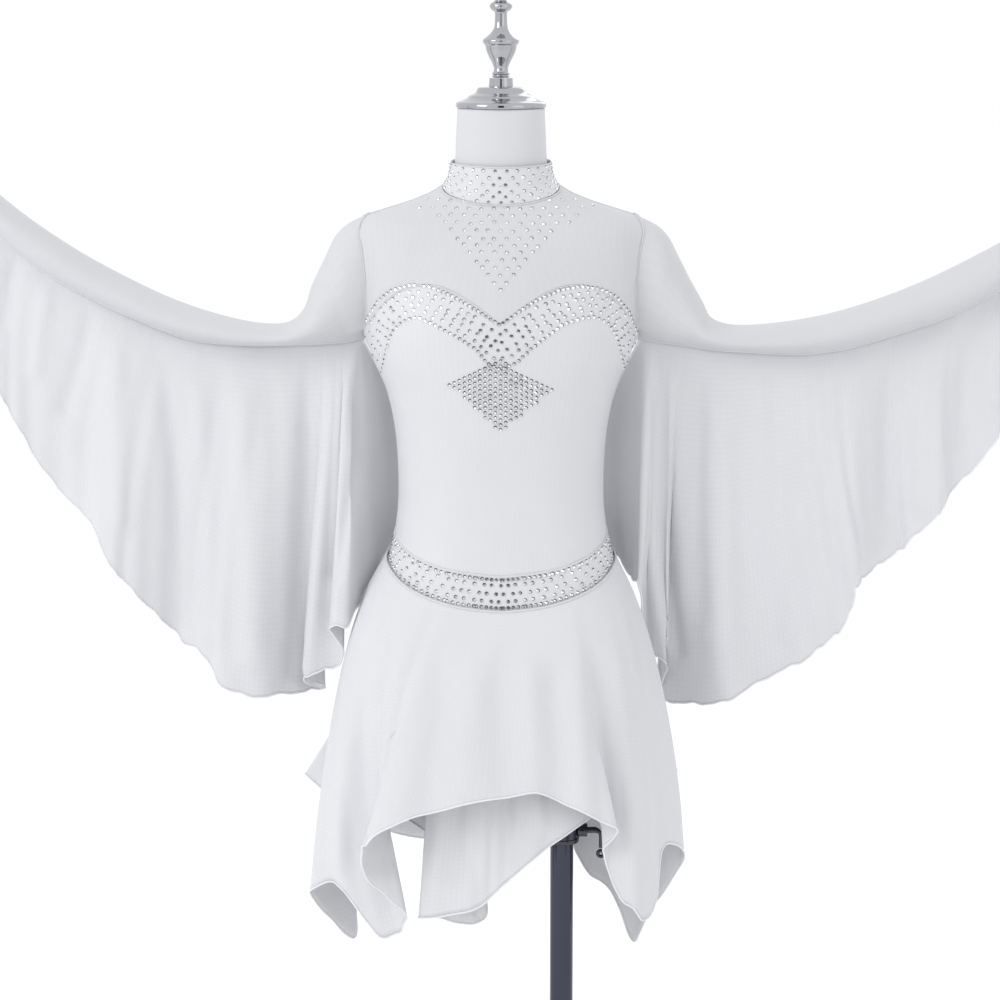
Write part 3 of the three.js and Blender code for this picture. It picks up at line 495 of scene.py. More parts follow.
class Finish:
    """A material under construction: its nodes, and short ways to add and join them."""

    def __init__(self, name, base, roughness, **sockets):
        self.material = bpy.data.materials.new(name)
        self.material.use_nodes = True
        self.tree = self.material.node_tree
        self.shader = self.tree.nodes["Principled BSDF"]
        sockets = {"Base_Color": (*base, 1.0), "Roughness": roughness, **sockets}
        for socket, value in sockets.items():
            self.shader.inputs[socket.replace("_", " ")].default_value = value

    def node(self, kind, **values):
        made = self.tree.nodes.new(kind)
        for name, value in values.items():
            if name in made.inputs:
                made.inputs[name].default_value = value
            else:
                setattr(made, name, value)
        return made

    def join(self, out, node, socket):
        self.tree.links.new(out, node.inputs[socket])

    def place(self, source="Object", scale=(1, 1, 1)):
        """Coordinates of the object or of its own weave, stretched by a scale."""
        if source == "weave":
            out = self.node("ShaderNodeUVMap", uv_map="weave").outputs["UV"]
        else:
            out = self.node("ShaderNodeTexCoord").outputs["Object"]
        mapping = self.node("ShaderNodeMapping", Scale=scale)
        self.join(out, mapping, "Vector")
        return mapping.outputs["Vector"]

    def texture(self, kind, where, **values):
        node = self.node("ShaderNodeTex" + kind, **values)
        self.join(where, node, "Vector")
        return node.outputs["Fac"]

    def noise(self, where, scale, detail=2.0):
        return self.texture("Noise", where, Scale=scale, Detail=detail)

    def waves(self, where, scale, way, distortion=0.0):
        return self.texture("Wave", where, Scale=scale, Distortion=distortion, bands_direction=way)

    def math(self, operation, a, b):
        node = self.node("ShaderNodeMath", operation=operation)
        for i, value in enumerate((a, b)):
            if isinstance(value, (int, float)):
                node.inputs[i].default_value = value
            else:
                self.join(value, node, i)
        return node.outputs[0]

    def mixed(self, a, share_a, b, share_b):
        """Two factors added by their shares."""
        parts = [self.math("MULTIPLY", a, share_a), self.math("MULTIPLY", b, share_b)]
        return self.math("ADD", *parts)

    def tone(self, factor, dark, light):
        """The base colour, between two colours by a factor."""
        mix = self.node("ShaderNodeMix", data_type="RGBA")
        mix.inputs["A"].default_value = (*dark, 1.0)
        mix.inputs["B"].default_value = (*light, 1.0)
        self.join(factor, mix, "Factor")
        self.join(mix.outputs["Result"], self.shader, "Base Color")

    def relief(self, height, strength, depth):
        bump = self.node("ShaderNodeBump", Strength=strength, Distance=depth)
        self.join(height, bump, "Height")
        self.join(bump.outputs["Normal"], self.shader, "Normal")

    def roughness(self, factor, low, high):
        span = self.math("MULTIPLY", factor, high - low)
        self.join(self.math("ADD", span, low), self.shader, "Roughness")


# A wave texture at scale WAVE / pitch repeats every 2 pi pitches.
WAVE = 0.05


def shaded(rgb, share):
    return tuple(min(1.0, c * share) for c in rgb)


def woven(name, base, pitch, roughness, alpha, relief, crinkle):
    """A plain or crepe cloth: crossed yarns, a soft crinkle, and uneven depth of tone."""
    shine = {"Specular_IOR_Level": 0.25, "Sheen_Weight": 0.18, "Sheen_Roughness": 0.45}
    cloth = Finish(name, base, roughness, Alpha=alpha, **shine)
    weave = cloth.place("weave")
    warp, weft = (cloth.waves(weave, WAVE / pitch, way, 0.6) for way in "XY")
    yarns = cloth.math("MULTIPLY", warp, weft)
    crepe = cloth.noise(cloth.place(scale=(1, 1, 0.35)), 190.0, 3.0)
    cloth.relief(cloth.mixed(yarns, 1, crepe, crinkle), relief, 0.0006)
    cloud = cloth.noise(cloth.place(scale=(1.0, 1.0, 0.4)), 9.0, 3.0)
    cloth.tone(cloth.mixed(cloud, 0.7, yarns, 0.3), shaded(base, 0.93), shaded(base, 1.06))
    return cloth.material


def knitted(name, base, pitch, roughness, alpha, relief, sheen):
    """A fine stretch knit: upright ribs of stitches and a faint cloudy tone."""
    shine = {"Specular_IOR_Level": 0.35, "Sheen_Weight": sheen, "Sheen_Roughness": 0.35}
    knit = Finish(name, base, roughness, Alpha=alpha, **shine)
    weave = knit.place("weave")
    ribs = knit.waves(weave, WAVE / pitch, "X")
    stitches = knit.waves(weave, WAVE / (pitch * 0.7), "Y", 1.5)
    knit.relief(knit.mixed(ribs, 1, stitches, 0.5), relief, 0.0004)
    cloud = knit.noise(knit.place(), 14.0, 2.0)
    knit.tone(knit.mixed(cloud, 0.75, ribs, 0.25), shaded(base, 0.965), shaded(base, 1.025))
    return knit.material


def metal(name, base, roughness, brushed=0.0):
    """Polished or brushed metal with faint wipe marks."""
    plate = Finish(name, base, roughness, Metallic=1.0)
    marks = plate.noise(plate.place(scale=(1, 1, 0.2)), 45.0, 4.0)
    plate.roughness(marks, roughness * 0.6, roughness * 1.5 + brushed)
    plate.tone(marks, shaded(base, 0.93), shaded(base, 1.06))
    scratches = plate.noise(plate.place(scale=(1, 1, 0.05)), 900.0, 2.0)
    plate.relief(scratches, 0.05 + brushed, 0.0001)
    return plate.material


def crystal_finish(name):
    """Foil-backed crystal with painted light: each facet carries a painted tone, from near black to
    bright, set by which way it faces, as painted shade and painted reflection, with a fine noise of
    painted glints.
    """
    base = (0.8, 0.8, 0.82)
    crystal = Finish(name, base, 0.22, Metallic=1.0, Coat_Weight=0.6, Coat_Roughness=0.03)
    # Each facet's painted light and shade, stored on the crystal mesh.
    facet = crystal.node("ShaderNodeAttribute", attribute_name="facet_painted_light")
    glint = crystal.noise(crystal.place(), 420.0, 1.0)
    glint = crystal.math("MULTIPLY", crystal.math("SUBTRACT", glint, 0.5), 0.35)
    # The facets' painted light plus the painted glints set the base colour.
    mixed = crystal.math("ADD", facet.outputs["Fac"], glint)
    crystal.tone(mixed, (0.015, 0.015, 0.02), (0.98, 0.98, 1.0))
    return crystal.material


def finish(name):
    """The dress's finishes, each made once from the scene's colours."""
    full = "dress_" + name
    hues = bpy.context.scene.dress_colours
    makers = {
        "chiffon": (woven, hues.chiffon, 0.0007, 0.85, 0.92, 0.10, 0.9),
        "hem": (woven, shaded(hues.chiffon, 1.12), 0.0006, 0.7, 1.0, 0.3, 0.5),
        "mesh": (knitted, hues.mesh_knit, 0.0011, 0.75, 0.92, 0.12, 0.12),
        "spandex": (knitted, hues.spandex, 0.0009, 0.5, 1.0, 0.09, 0.25),
        "form": (knitted, hues.form_cover, 0.0013, 0.8, 1.0, 0.3, 0.1),
        "chrome": (metal, hues.chrome, 0.09),
        "pole": (metal, hues.pole, 0.12),
        "clamp": (metal, hues.clamp, 0.16),
        "base": (metal, hues.base, 0.22, 0.1),
        "crystal": (crystal_finish,),
    }
    maker, *values = makers[name]
    return bpy.data.materials.get(full) or maker(full, *values)


# ---- The dress form

GRIDS = {}
# The CAD walls of cloth, in metres.
KNIT_WALL, CHIFFON_WALL = 0.0016, 0.0015
# The form's underside: shares of its last ring's width, and how far each lies below it.
ROUNDED_UNDER = [(0.985, -0.0012), (0.95, -0.0022), (0.7, -0.0028), (0.4, -0.003), (0.1, -0.003)]


def nearest_shell(names):
    """A tree of the finished cloth grids by name, to lay seams and crystals on."""
    points, faces = [], []
    for name in names:
        grid, closed = GRIDS[name]
        start = len(points)
        points += [Vector(p) for p in grid.reshape(-1, 3)]
        faces += [tuple(start + i for i in f) for f in grid_faces(*grid.shape[:2], closed)]
    return BVHTree.FromPolygons(points, faces)


class DRESS_OT_form(bpy.types.Operator):
    """The padded, knit-covered dress form under the dress"""

    bl_idname = "dress.form"
    bl_label = "Dress form"

    def execute(self, context):
        form = merged_copy("form_torso")
        caps = [v for v in form.verts if len(v.link_edges) > 20]
        bmesh.ops.delete(form, geom=caps, context="VERTS")
        rows = tube_rows(set(form.verts), height)
        grid = np.array([[v.co[:] for v in row] for row in rows])
        form.free()
        if np.dot(grid_normals(grid, True)[3, 0], grid[3, 0] * (1, 1, 0)) < 0:
            grid = grid[:, ::-1]
        grid = finer(grid, 190, 104, True)
        centre = grid[-1].mean(axis=0)
        under = [
            centre + (grid[-1] - centre) * share + np.array([0, 0, drop])
            for share, drop in ROUNDED_UNDER
        ]
        grid = np.concatenate([grid, under])
        rows, columns = grid.shape[:2]
        faces = grid_faces(rows, columns, True)
        faces.append(tuple(range(columns)))
        faces.append(tuple((rows - 1) * columns + c for c in reversed(range(columns))))
        piece = piece_from("form_cover", grid.reshape(-1, 3), faces, finish("form"))
        facing_out(piece)
        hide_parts("form_torso")
        GRIDS["form"] = (grid, True)
        return {"FINISHED"}


# ---- Fitted panels

# Soft pulls in the stretch cloth: half width, depth, and the line's x and z in millimetres.
BODICE_PULLS = [
    (16, 0.9, [(-118, 1010), (-96, 985), (-70, 962)]),
    (14, 0.8, [(112, 1006), (92, 984), (66, 962)]),
    (12, 0.7, [(-122, 1130), (-100, 1118), (-78, 1112)]),
    (12, 0.7, [(120, 1126), (100, 1112), (80, 1108)]),
    (18, 0.8, [(-40, 1075), (-52, 1010), (-58, 960)]),
    (18, 0.8, [(38, 1075), (50, 1010), (54, 960)]),
]
YOKE_PULLS = [
    (14, 0.7, [(-128, 1262), (-112, 1230), (-98, 1212)]),
    (14, 0.7, [(126, 1262), (110, 1230), (96, 1212)]),
    (20, 0.8, [(-60, 1330), (-96, 1300), (-124, 1276)]),
    (20, 0.8, [(60, 1330), (96, 1300), (124, 1276)]),
]
BACK_PULLS = [
    (18, 0.9, [(-90, 1150), (-60, 1120), (-30, 1110)]),
    (18, 0.9, [(86, 1146), (58, 1118), (30, 1108)]),
    (16, 0.8, [(-104, 1010), (-70, 996), (-34, 992)]),
    (16, 0.8, [(100, 1008), (68, 995), (34, 992)]),
]

# Each panel: node, finish, rows, columns, closed, pulls, from the front, flat cut and its area.
PANELS = [
    ("collar", "spandex", 26, 208, True, [], True, (0.375, 0.036), 0.0103),
    ("yoke_front", "mesh", 100, 144, False, YOKE_PULLS, True, (0.345, 0.185), 0.040),
    ("yoke_back", "mesh", 108, 144, False, [], False, (0.360, 0.225), 0.0615),
    ("bodice_front", "spandex", 104, 144, False, BODICE_PULLS, True, (0.400, 0.300), 0.0910),
    ("bodice_back", "spandex", 96, 144, False, BACK_PULLS, False, (0.330, 0.235), 0.0640),
    ("waist_band", "spandex", 24, 216, True, [], True, (0.665, 0.035), 0.0200),
]


EDGE_STEPS = 400
SHOULDER_LOW, SHOULDER_FADE = 1.280, 0.010
SHOULDER_REACH, SHOULDER_COLUMNS = 0.016, 18


def drawn_to_front(grid):
    """The back yoke with its shoulder edges drawn to the front yoke's, out to the sleeve."""
    front = GRIDS["yoke_front"][0]
    target = np.concatenate([spaced(front[:, end], EDGE_STEPS, False) for end in (0, -1)])
    for end in (0, -1):
        edge = grid[:, end]
        away = np.linalg.norm(edge[:, None] - target[None], axis=2)
        share = np.clip((edge[:, 2] - SHOULDER_LOW) / SHOULDER_FADE, 0, 1)
        share = share * (away.min(axis=1) < SHOULDER_REACH)
        pull = (target[away.argmin(axis=1)] - edge) * share[:, None]
        pull[1:-1] = (pull[:-2] + 2 * pull[1:-1] + pull[2:]) / 4
        ease = np.clip(1 - np.arange(grid.shape[1]) / SHOULDER_COLUMNS, 0, 1)
        ease = ease if end == 0 else ease[::-1]
        grid = grid + ease[None, :, None] * pull[:, None]
    return grid


class DRESS_OT_panels(bpy.types.Operator):
    """The fitted knit panels: collar, yokes, bodice and waist band"""

    bl_idname = "dress.panels"
    bl_label = "Fitted panels"

    def execute(self, context):
        for node, kind, rows, columns, closed, pulls, front, flat, area in PANELS:
            grid = cloth_grid(node, KNIT_WALL, closed)
            grid = pressed(finer(grid, rows, columns, closed), closed, pulls, front)
            if node == "yoke_back":
                grid = drawn_to_front(grid)
            cloth_piece(node, grid, closed, kind)
        return {"FINISHED"}


class DRESS_OT_brief(bpy.types.Operator):
    """The brief sewn in under the skirts"""

    bl_idname = "dress.brief"
    bl_label = "Brief"

    def execute(self, context):
        shell = merged_copy("brief")
        mesh = bpy.data.meshes.new("brief_cloth")
        shell.to_mesh(mesh)
        shell.free()
        piece = linked("brief_cloth", mesh)
        mesh.materials.clear()
        mesh.materials.append(finish("spandex"))
        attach(piece, DRESSED)
        made_active(piece)
        bpy.ops.object.shade_smooth_by_angle(angle=math.radians(40))
        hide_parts("brief")
        return {"FINISHED"}


# ---- Skirts, sleeves and wings

# Folds: half width, depth (below 0 for a valley), and the line's x and z in millimetres.
OUTER_SKIRT_FRONT = [
    (15, 5.5, [(26, 880), (31, 800), (37, 700)]),
    (15, -5.0, [(54, 870), (59, 790), (64, 690)]),
    (13, 3.5, [(80, 880), (84, 800), (88, 700)]),
    (13, -4.2, [(98, 880), (103, 800), (108, 690)]),
    (17, 4.2, [(118, 880), (128, 800), (138, 690), (146, 600)]),
    (13, -3.4, [(150, 830), (160, 720), (168, 640)]),
    (16, -4.0, [(-127, 921), (-140, 830), (-152, 645)]),
    (22, 3.6, [(-96, 900), (-108, 800), (-118, 690)]),
    (15, -3.6, [(-58, 890), (-68, 800), (-76, 712)]),
    (18, 3.4, [(-30, 880), (-36, 790), (-41, 714)]),
    (14, -3.0, [(-4, 884), (-1, 800), (4, 720)]),
    (10, 3.8, [(-160, 800), (-170, 700), (-176, 620)]),
]
OUTER_SKIRT_BACK = [
    (16, 5.0, [(-96, 900), (-112, 780), (-122, 640)]),
    (14, -4.6, [(-64, 905), (-74, 790), (-80, 640)]),
    (18, 5.0, [(-30, 910), (-36, 780), (-40, 620)]),
    (15, -4.2, [(6, 912), (8, 780), (10, 610)]),
    (17, 5.5, [(42, 910), (50, 780), (56, 630)]),
    (14, -4.6, [(78, 905), (90, 790), (100, 660)]),
    (15, 4.6, [(108, 898), (124, 780), (136, 680)]),
]
UNDER_SKIRT_FRONT = [
    (10, 3.4, [(-60, 760), (-66, 690), (-70, 620)]),
    (9, -3.4, [(-42, 760), (-46, 690), (-48, 620)]),
    (11, 3.7, [(-22, 760), (-20, 690), (-16, 630)]),
    (9, -3.1, [(4, 760), (8, 700), (12, 650)]),
    (11, 3.4, [(32, 760), (40, 710), (46, 680)]),
]
LEFT_WING_FOLDS = [
    (9, 4.8, [(157, 1182), (158, 1084), (161, 966), (182, 826)]),
    (9, -4.5, [(170, 1172), (172, 1065), (184, 906), (196, 830)]),
    (16, 4.2, [(239, 1168), (243, 1032), (247, 844)]),
    (14, -3.1, [(292, 1166), (298, 1084), (306, 846)]),
    (17, 4.2, [(330, 1172), (336, 1050), (344, 880)]),
    (15, 4.2, [(378, 1176), (382, 1065), (386, 944)]),
    (12, -3.6, [(420, 1180), (418, 1086), (417, 966)]),
    (13, 3.9, [(454, 1195), (454, 1108), (450, 1010)]),
    (11, -3.4, [(500, 1220), (498, 1150), (494, 1070)]),
    (10, 3.1, [(536, 1235), (534, 1180), (530, 1120)]),
    (12, -3.1, [(210, 1172), (214, 1040), (222, 880)]),
]
RIGHT_WING_FOLDS = [
    (10, -4.2, [(-434, 1226), (-451, 1162), (-468, 1108)]),
    (11, -4.5, [(-365, 1192), (-353, 1084), (-348, 966), (-354, 866)]),
    (13, 4.5, [(-412, 1204), (-413, 1086), (-413, 988)]),
    (13, 3.6, [(-330, 1180), (-322, 1060), (-316, 860)]),
    (14, 4.2, [(-284, 1178), (-277, 1032), (-274, 833)]),
    (11, -4.8, [(-206, 1170), (-208, 1060), (-219, 946), (-228, 814)]),
    (10, 4.5, [(-175, 1170), (-189, 1045), (-215, 818)]),
    (9, -4.2, [(-156, 1172), (-152, 1060), (-180, 926)]),
    (12, -2.8, [(-246, 1176), (-242, 1040), (-246, 850)]),
    (10, 3.6, [(-482, 1252), (-492, 1200), (-500, 1150)]),
    (9, -3.1, [(-516, 1280), (-524, 1240), (-532, 1200)]),
]

# Ripples and bumps, as rippled and uneven take them.
OUTER_RIPPLES = [(11, 0.3, 2.6, 1.1), (17, 0.1, 1.9, 1.3), (29, 0.4, 0.9, 2.0)]
UNDER_RIPPLES = [(9, 0.3, 1.4, 1.2), (13, 0.3, 1.1, 1.4), (23, 0.1, 0.7, 2.2)]
WING_RIPPLES = [(15, 0.2, 1.2, 1.6), (27, 0.7, 0.8, 2.4), (6, 0.4, 1.6, 0.8)]
SLEEVE_RIPPLES = [(2, 0.2, 0.7, 5.0), (3, 0.6, 0.5, 9.0)]
OUTER_BUMPS = [(19, 0.2, 0.9), (43, 0.5, 0.8)]
WING_BUMPS = [(13, 0.1, 1.2), (29, 0.6, 1.1), (58, 0.3, 0.5)]

# Each skirt: node, rows, columns, ripples, front and back folds, bumps, flat cut and its area.
SKIRTS = [
    (
        "skirt_outer", 72, 400, OUTER_RIPPLES, OUTER_SKIRT_FRONT, OUTER_SKIRT_BACK, OUTER_BUMPS,
        (0.86, 0.86), 0.40,
    ),
    ("skirt_under", 56, 312, UNDER_RIPPLES, UNDER_SKIRT_FRONT, [], [], (0.72, 0.72), 0.26),
]

ARMHOLE_PANELS = ("yoke_front", "yoke_back", "bodice_front", "bodice_back")
ARMHOLE_X, ARMHOLE_LOW = 0.10, 1.165
SEWN_REACH, SEWN_SHARE = 0.024, 0.14


class DRESS_OT_skirts(bpy.types.Operator):
    """The two handkerchief skirts of chiffon"""

    bl_idname = "dress.skirts"
    bl_label = "Skirts"

    def execute(self, context):
        for node, rows, columns, ripples, folds, back_folds, bumps, flat, area in SKIRTS:
            grid = finer(cloth_grid(node, CHIFFON_WALL, True), rows, columns, True)
            grid = pressed(rippled(grid, True, ripples), True, folds)
            if back_folds:
                grid = uneven(pressed(grid, True, back_folds, False), True, bumps)
            cloth_piece(node, grid, True, "chiffon")
        return {"FINISHED"}


def sewn_in(grid, side):
    """A sleeve whose first ring meets the armhole edge of the yoke and bodice, easing out
    over its first seventh."""
    edges = [GRIDS[name][0][:, end] for name in ARMHOLE_PANELS for end in (0, -1)]
    edge = np.concatenate([spaced(points, EDGE_STEPS, False) for points in edges])
    outward = edge[:, 0] * (1 if side == "left" else -1)
    edge = edge[(outward > ARMHOLE_X) & (edge[:, 2] > ARMHOLE_LOW)]
    away = np.linalg.norm(grid[0][:, None] - edge[None], axis=2)
    pull = edge[away.argmin(axis=1)] - grid[0]
    pull *= (away.min(axis=1) < SEWN_REACH)[:, None]
    pull = (np.roll(pull, 1, axis=0) + 4 * pull + np.roll(pull, -1, axis=0)) / 6
    ease = eased(1 - np.linspace(0, 1, grid.shape[0]) / SEWN_SHARE)
    return grid + ease[:, None, None] * pull[None]


class DRESS_OT_sleeves(bpy.types.Operator):
    """The two slim sleeves of mesh knit, empty and held out"""

    bl_idname = "dress.sleeves"
    bl_label = "Sleeves"

    def execute(self, context):
        for side in ("left", "right"):
            node = "sleeve_" + side
            grid = finer(cloth_grid(node, KNIT_WALL, True, reach), 150, 72, True)
            grid = sewn_in(rippled(grid, True, SLEEVE_RIPPLES), side)
            cloth_piece(node, grid, True, "mesh")
        return {"FINISHED"}


class DRESS_OT_wings(bpy.types.Operator):
    """The two chiffon wings that hang from the sleeves"""

    bl_idname = "dress.wings"
    bl_label = "Wings"

    def execute(self, context):
        for side, folds, flat, area in (
            ("left", LEFT_WING_FOLDS, (0.62, 0.40), 0.150),
            ("right", RIGHT_WING_FOLDS, (0.65, 0.40), 0.160),
        ):
            node, on = "wing_" + side, ["sleeve_" + side + "_cloth"]
            grid = finer(cloth_grid(node, CHIFFON_WALL, False, height, frontness), 84, 320, False)
            grid = pressed(rippled(grid, False, WING_RIPPLES), False, folds)
            cloth_piece(node, uneven(grid, False, WING_BUMPS), False, "chiffon")
        return {"FINISHED"}


# ---- Seams, hems and the zip


# Trims: name, edges of finished cloth, the size that sets the radius, its share, and finish.
# The free edge of a wing is its cuff end, hem and inner edge in one line.
TRIMS = [
    ("skirt_outer_hem", "skirt_outer low", "hem", 1, "hem"),
    ("skirt_under_hem", "skirt_under low", "hem", 1, "hem"),
    ("wing_left_hem", "wing_left free", "hem", 1, "hem"),
    ("wing_left_seam", "wing_left top", "seam", 1, "hem"),
    ("wing_right_hem", "wing_right free", "hem", 1, "hem"),
    ("wing_right_seam", "wing_right top", "seam", 1, "hem"),
    ("sleeve_left_cuff", "sleeve_left low", "hem", 1, "mesh"),
    ("sleeve_left_armhole", "sleeve_left top", "seam", 1.7, "mesh"),
    ("sleeve_right_cuff", "sleeve_right low", "hem", 1, "mesh"),
    ("sleeve_right_armhole", "sleeve_right top", "seam", 1.7, "mesh"),
    ("collar_binding", "collar top, collar low", "seam", 1, "spandex"),
    ("neck_seam", "yoke_front top, yoke_back top", "seam", 1.7, "mesh"),
    ("waist_seam", "bodice_front low, bodice_back low, skirt_outer top", "seam", 1.7, "spandex"),
    ("waist_binding", "waist_band top, waist_band low", "seam", 1, "spandex"),
    ("bodice_seams", "bodice_front top, bodice_back top", "seam", 1, "spandex"),
    ("side_seams", "bodice_front first, bodice_front last", "seam", 1, "spandex"),
    ("shoulder_seams", "yoke_front first, yoke_front last", "seam", 1, "mesh"),
]
ZIP_TOP, ZIP_LOW, ZIP_STEP = 1.372, 1.0, 0.004
ZIP_HALF, LIP_RADIUS = 0.0011, 0.0010
SLIDER_SIZE = (0.0042, 0.0026, 0.0062)
PULL_RADIUS, PULL_DEPTH, PULL_STRETCH = 0.0024, 0.0009, 2.3


def edge_of(name, side):
    """One edge of a finished grid, as a line for a cord."""
    grid, closed = GRIDS[name]
    if side == "free":
        return np.concatenate([grid[:, 0], grid[-1, 1:-1], grid[::-1, -1]]), False
    lines = {"top": grid[0], "low": grid[-1], "first": grid[:, 0], "last": grid[:, -1]}
    return lines[side], closed and side in ("top", "low")


def down_the_back(tree, x):
    """Points on the cloth at the back, from the zip's top to its end."""
    points = []
    for z in np.arange(ZIP_TOP, ZIP_LOW, -ZIP_STEP):
        hit = tree.ray_cast(Vector((x, 0.5, z)), Vector((0, -1, 0)))[0]
        if hit:
            points.append(hit[:])
    return np.array(points)


class DRESS_OT_seams(bpy.types.Operator):
    """Rolled hems, sewn seams, bindings and the closed zip at the centre back"""

    bl_idname = "dress.seams"
    bl_label = "Seams and hems"

    def execute(self, context):
        for name, edges, size, share, kind in TRIMS:
            lines = [edge_of(*edge.split()) for edge in edges.split(",")]
            cords(name, lines, getattr(context.scene.dress_sizes, size) * share, finish(kind))
        back = nearest_shell(["collar", "yoke_back", "bodice_back"])
        lips = [(down_the_back(back, x), False) for x in (-ZIP_HALF, ZIP_HALF)]
        cords("zip_lips", lips, LIP_RADIUS, finish("spandex"))
        self.pull(lips[0][0][0])
        return {"FINISHED"}

    def pull(self, top):
        """The zip's slider and drop-shaped pull, closed at the collar."""
        nothing_selected()
        y, z = top[1] + 0.0022, top[2] - 0.004
        bpy.ops.mesh.primitive_cube_add(size=1, location=(0, y, z))
        slider = bpy.context.object
        slider.name = "zip_pull"
        bpy.ops.object.mode_set(mode="EDIT")
        bpy.ops.transform.resize(value=SLIDER_SIZE)
        bpy.ops.mesh.bevel(offset=0.0008, segments=3)
        bpy.ops.mesh.select_all(action="DESELECT")
        bpy.ops.mesh.primitive_cylinder_add(
            vertices=24, radius=PULL_RADIUS, depth=PULL_DEPTH, rotation=(math.pi / 2, 0, 0),
            location=(0, y + 0.0014, z - 0.0115),
        )
        bpy.ops.transform.resize(value=(1, 1, PULL_STRETCH))
        bpy.ops.mesh.bevel(offset=0.0003, segments=2)
        bpy.ops.object.mode_set(mode="OBJECT")
        placed(slider, finish("chrome"), DRESSED)


def placed(piece, material, body, nodes=()):
    """Moves a piece's place into its mesh, finishes it and lets it ride on a body."""
    made_active(piece)
    bpy.ops.object.transform_apply(location=True, rotation=True, scale=True)
    piece.data.materials.clear()
    piece.data.materials.append(material)
    facing_out(piece)
    bpy.ops.object.shade_smooth_by_angle(angle=math.radians(32))
    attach(piece, body)
    if nodes:
        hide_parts(*nodes)


# ---- Crystals

# Lines on the front, as x and z in millimetres.
BAND_UPPER = [
    (-148, 1194), (-141, 1212), (-129, 1232), (-115, 1244), (-94, 1251), (-74, 1250), (-50, 1241),
    (-25, 1227), (-1, 1212), (16, 1224), (37, 1237), (61, 1247), (82, 1250), (103, 1247), (120, 1238),
    (135, 1219), (146, 1190),
]
BAND_LOWER = [
    (-128, 1147), (-120, 1182), (-114, 1201), (-103, 1213), (-87, 1219), (-70, 1212), (-46, 1200),
    (-25, 1187), (-15, 1173), (-1, 1166), (16, 1173), (30, 1187), (47, 1200), (64, 1212), (85, 1218),
    (99, 1218), (113, 1210), (122, 1193), (132, 1151),
]
DIAMOND = [(-55, 1150), (-1, 1176), (55, 1144), (-2, 1098)]
V_FIELD = [
    (-112, 1352), (-108, 1338), (-77, 1323), (-58, 1308), (-41, 1287), (-25, 1273), (-14, 1262),
    (0, 1247), (11, 1257), (26, 1268), (37, 1282), (47, 1294), (63, 1306), (90, 1326), (112, 1338),
    (116, 1352),
]
# Crystals along the edges of the sweetheart band, and in the rows between them.
UPPER_EDGE_COUNT, LOWER_EDGE_COUNT = 74, 68
BAND_ROWS, BAND_ROW_COUNT = 4, 40
DIAMOND_MIDDLE = (-0.5, 1138)
FIELD_PITCH, FIELD_LOW = (13.0, 7.4), 1247.5
# Rows all round: how many, crystals in each, share down of the first, step, and slip.
COLLAR_ROWS = (6, 27, 0.06, 0.176, 0.003)
WAIST_ROWS = (3, 62, 0.28, 0.22, 0.0015)
WAIST_EDGE_COUNT, WAIST_EDGES = 118, (0.07, 0.93)


def evenly(line, count):
    """Points at equal distances along a line."""
    line = np.array(line, float)
    run = np.concatenate([[0], np.cumsum(np.linalg.norm(np.diff(line, axis=0), axis=1))])
    at = np.linspace(0, run[-1], count)
    return np.stack([np.interp(at, run, line[:, k]) for k in range(line.shape[1])], axis=1)


def inside(point, outline):
    """True if a point lies inside an outline of corners."""
    x, z = point
    hit = False
    for (x0, z0), (x1, z1) in zip(outline, outline[1:] + outline[:1]):
        if (z0 > z) != (z1 > z) and x < x0 + (z - z0) * (x1 - x0) / (z1 - z0):
            hit = not hit
    return hit


def on_front(tree, points):
    """Places on the front of the cloth at (x, z) in millimetres, each with its normal."""
    places = []
    for x, z in points:
        hit, normal, _, _ = tree.ray_cast(Vector((x * MM, -0.5, z * MM)), Vector((0, 1, 0)))
        if hit and normal.y < -0.12:
            places.append((hit, normal))
    return places


def on_grid(name, places):
    """Places on a finished grid, each (share across, share down), with their normals."""
    grid, _ = GRIDS[name]
    normals = grid_normals(grid, True)
    rows, columns = grid.shape[:2]
    found = []
    for across, down in places:
        c, r = int(across * columns) % columns, min(rows - 1, int(round(down * (rows - 1))))
        found.append((Vector(grid[r, c]), Vector(normals[r, c])))
    return found


def cut_crystal():
    """One flat-backed crystal, half a unit high and two wide: points and faces."""
    points = []
    for radius, rise, turn in ((0.98, 0.0, 0.0), (1.0, 0.14, 0.0), (0.56, 0.52, 0.5)):
        for k in range(8):
            a = 2 * math.pi * (k + turn) / 8
            points.append((radius * math.cos(a), radius * math.sin(a), rise))
    faces = [(k, (k + 1) % 8, 8 + (k + 1) % 8, 8 + k) for k in range(8)]
    faces += [(8 + k, 8 + (k + 1) % 8, 16 + k) for k in range(8)]
    faces += [(8 + (k + 1) % 8, 16 + (k + 1) % 8, 16 + k) for k in range(8)]
    faces += [tuple(range(16, 24)), tuple(reversed(range(8)))]
    return np.array(points), faces


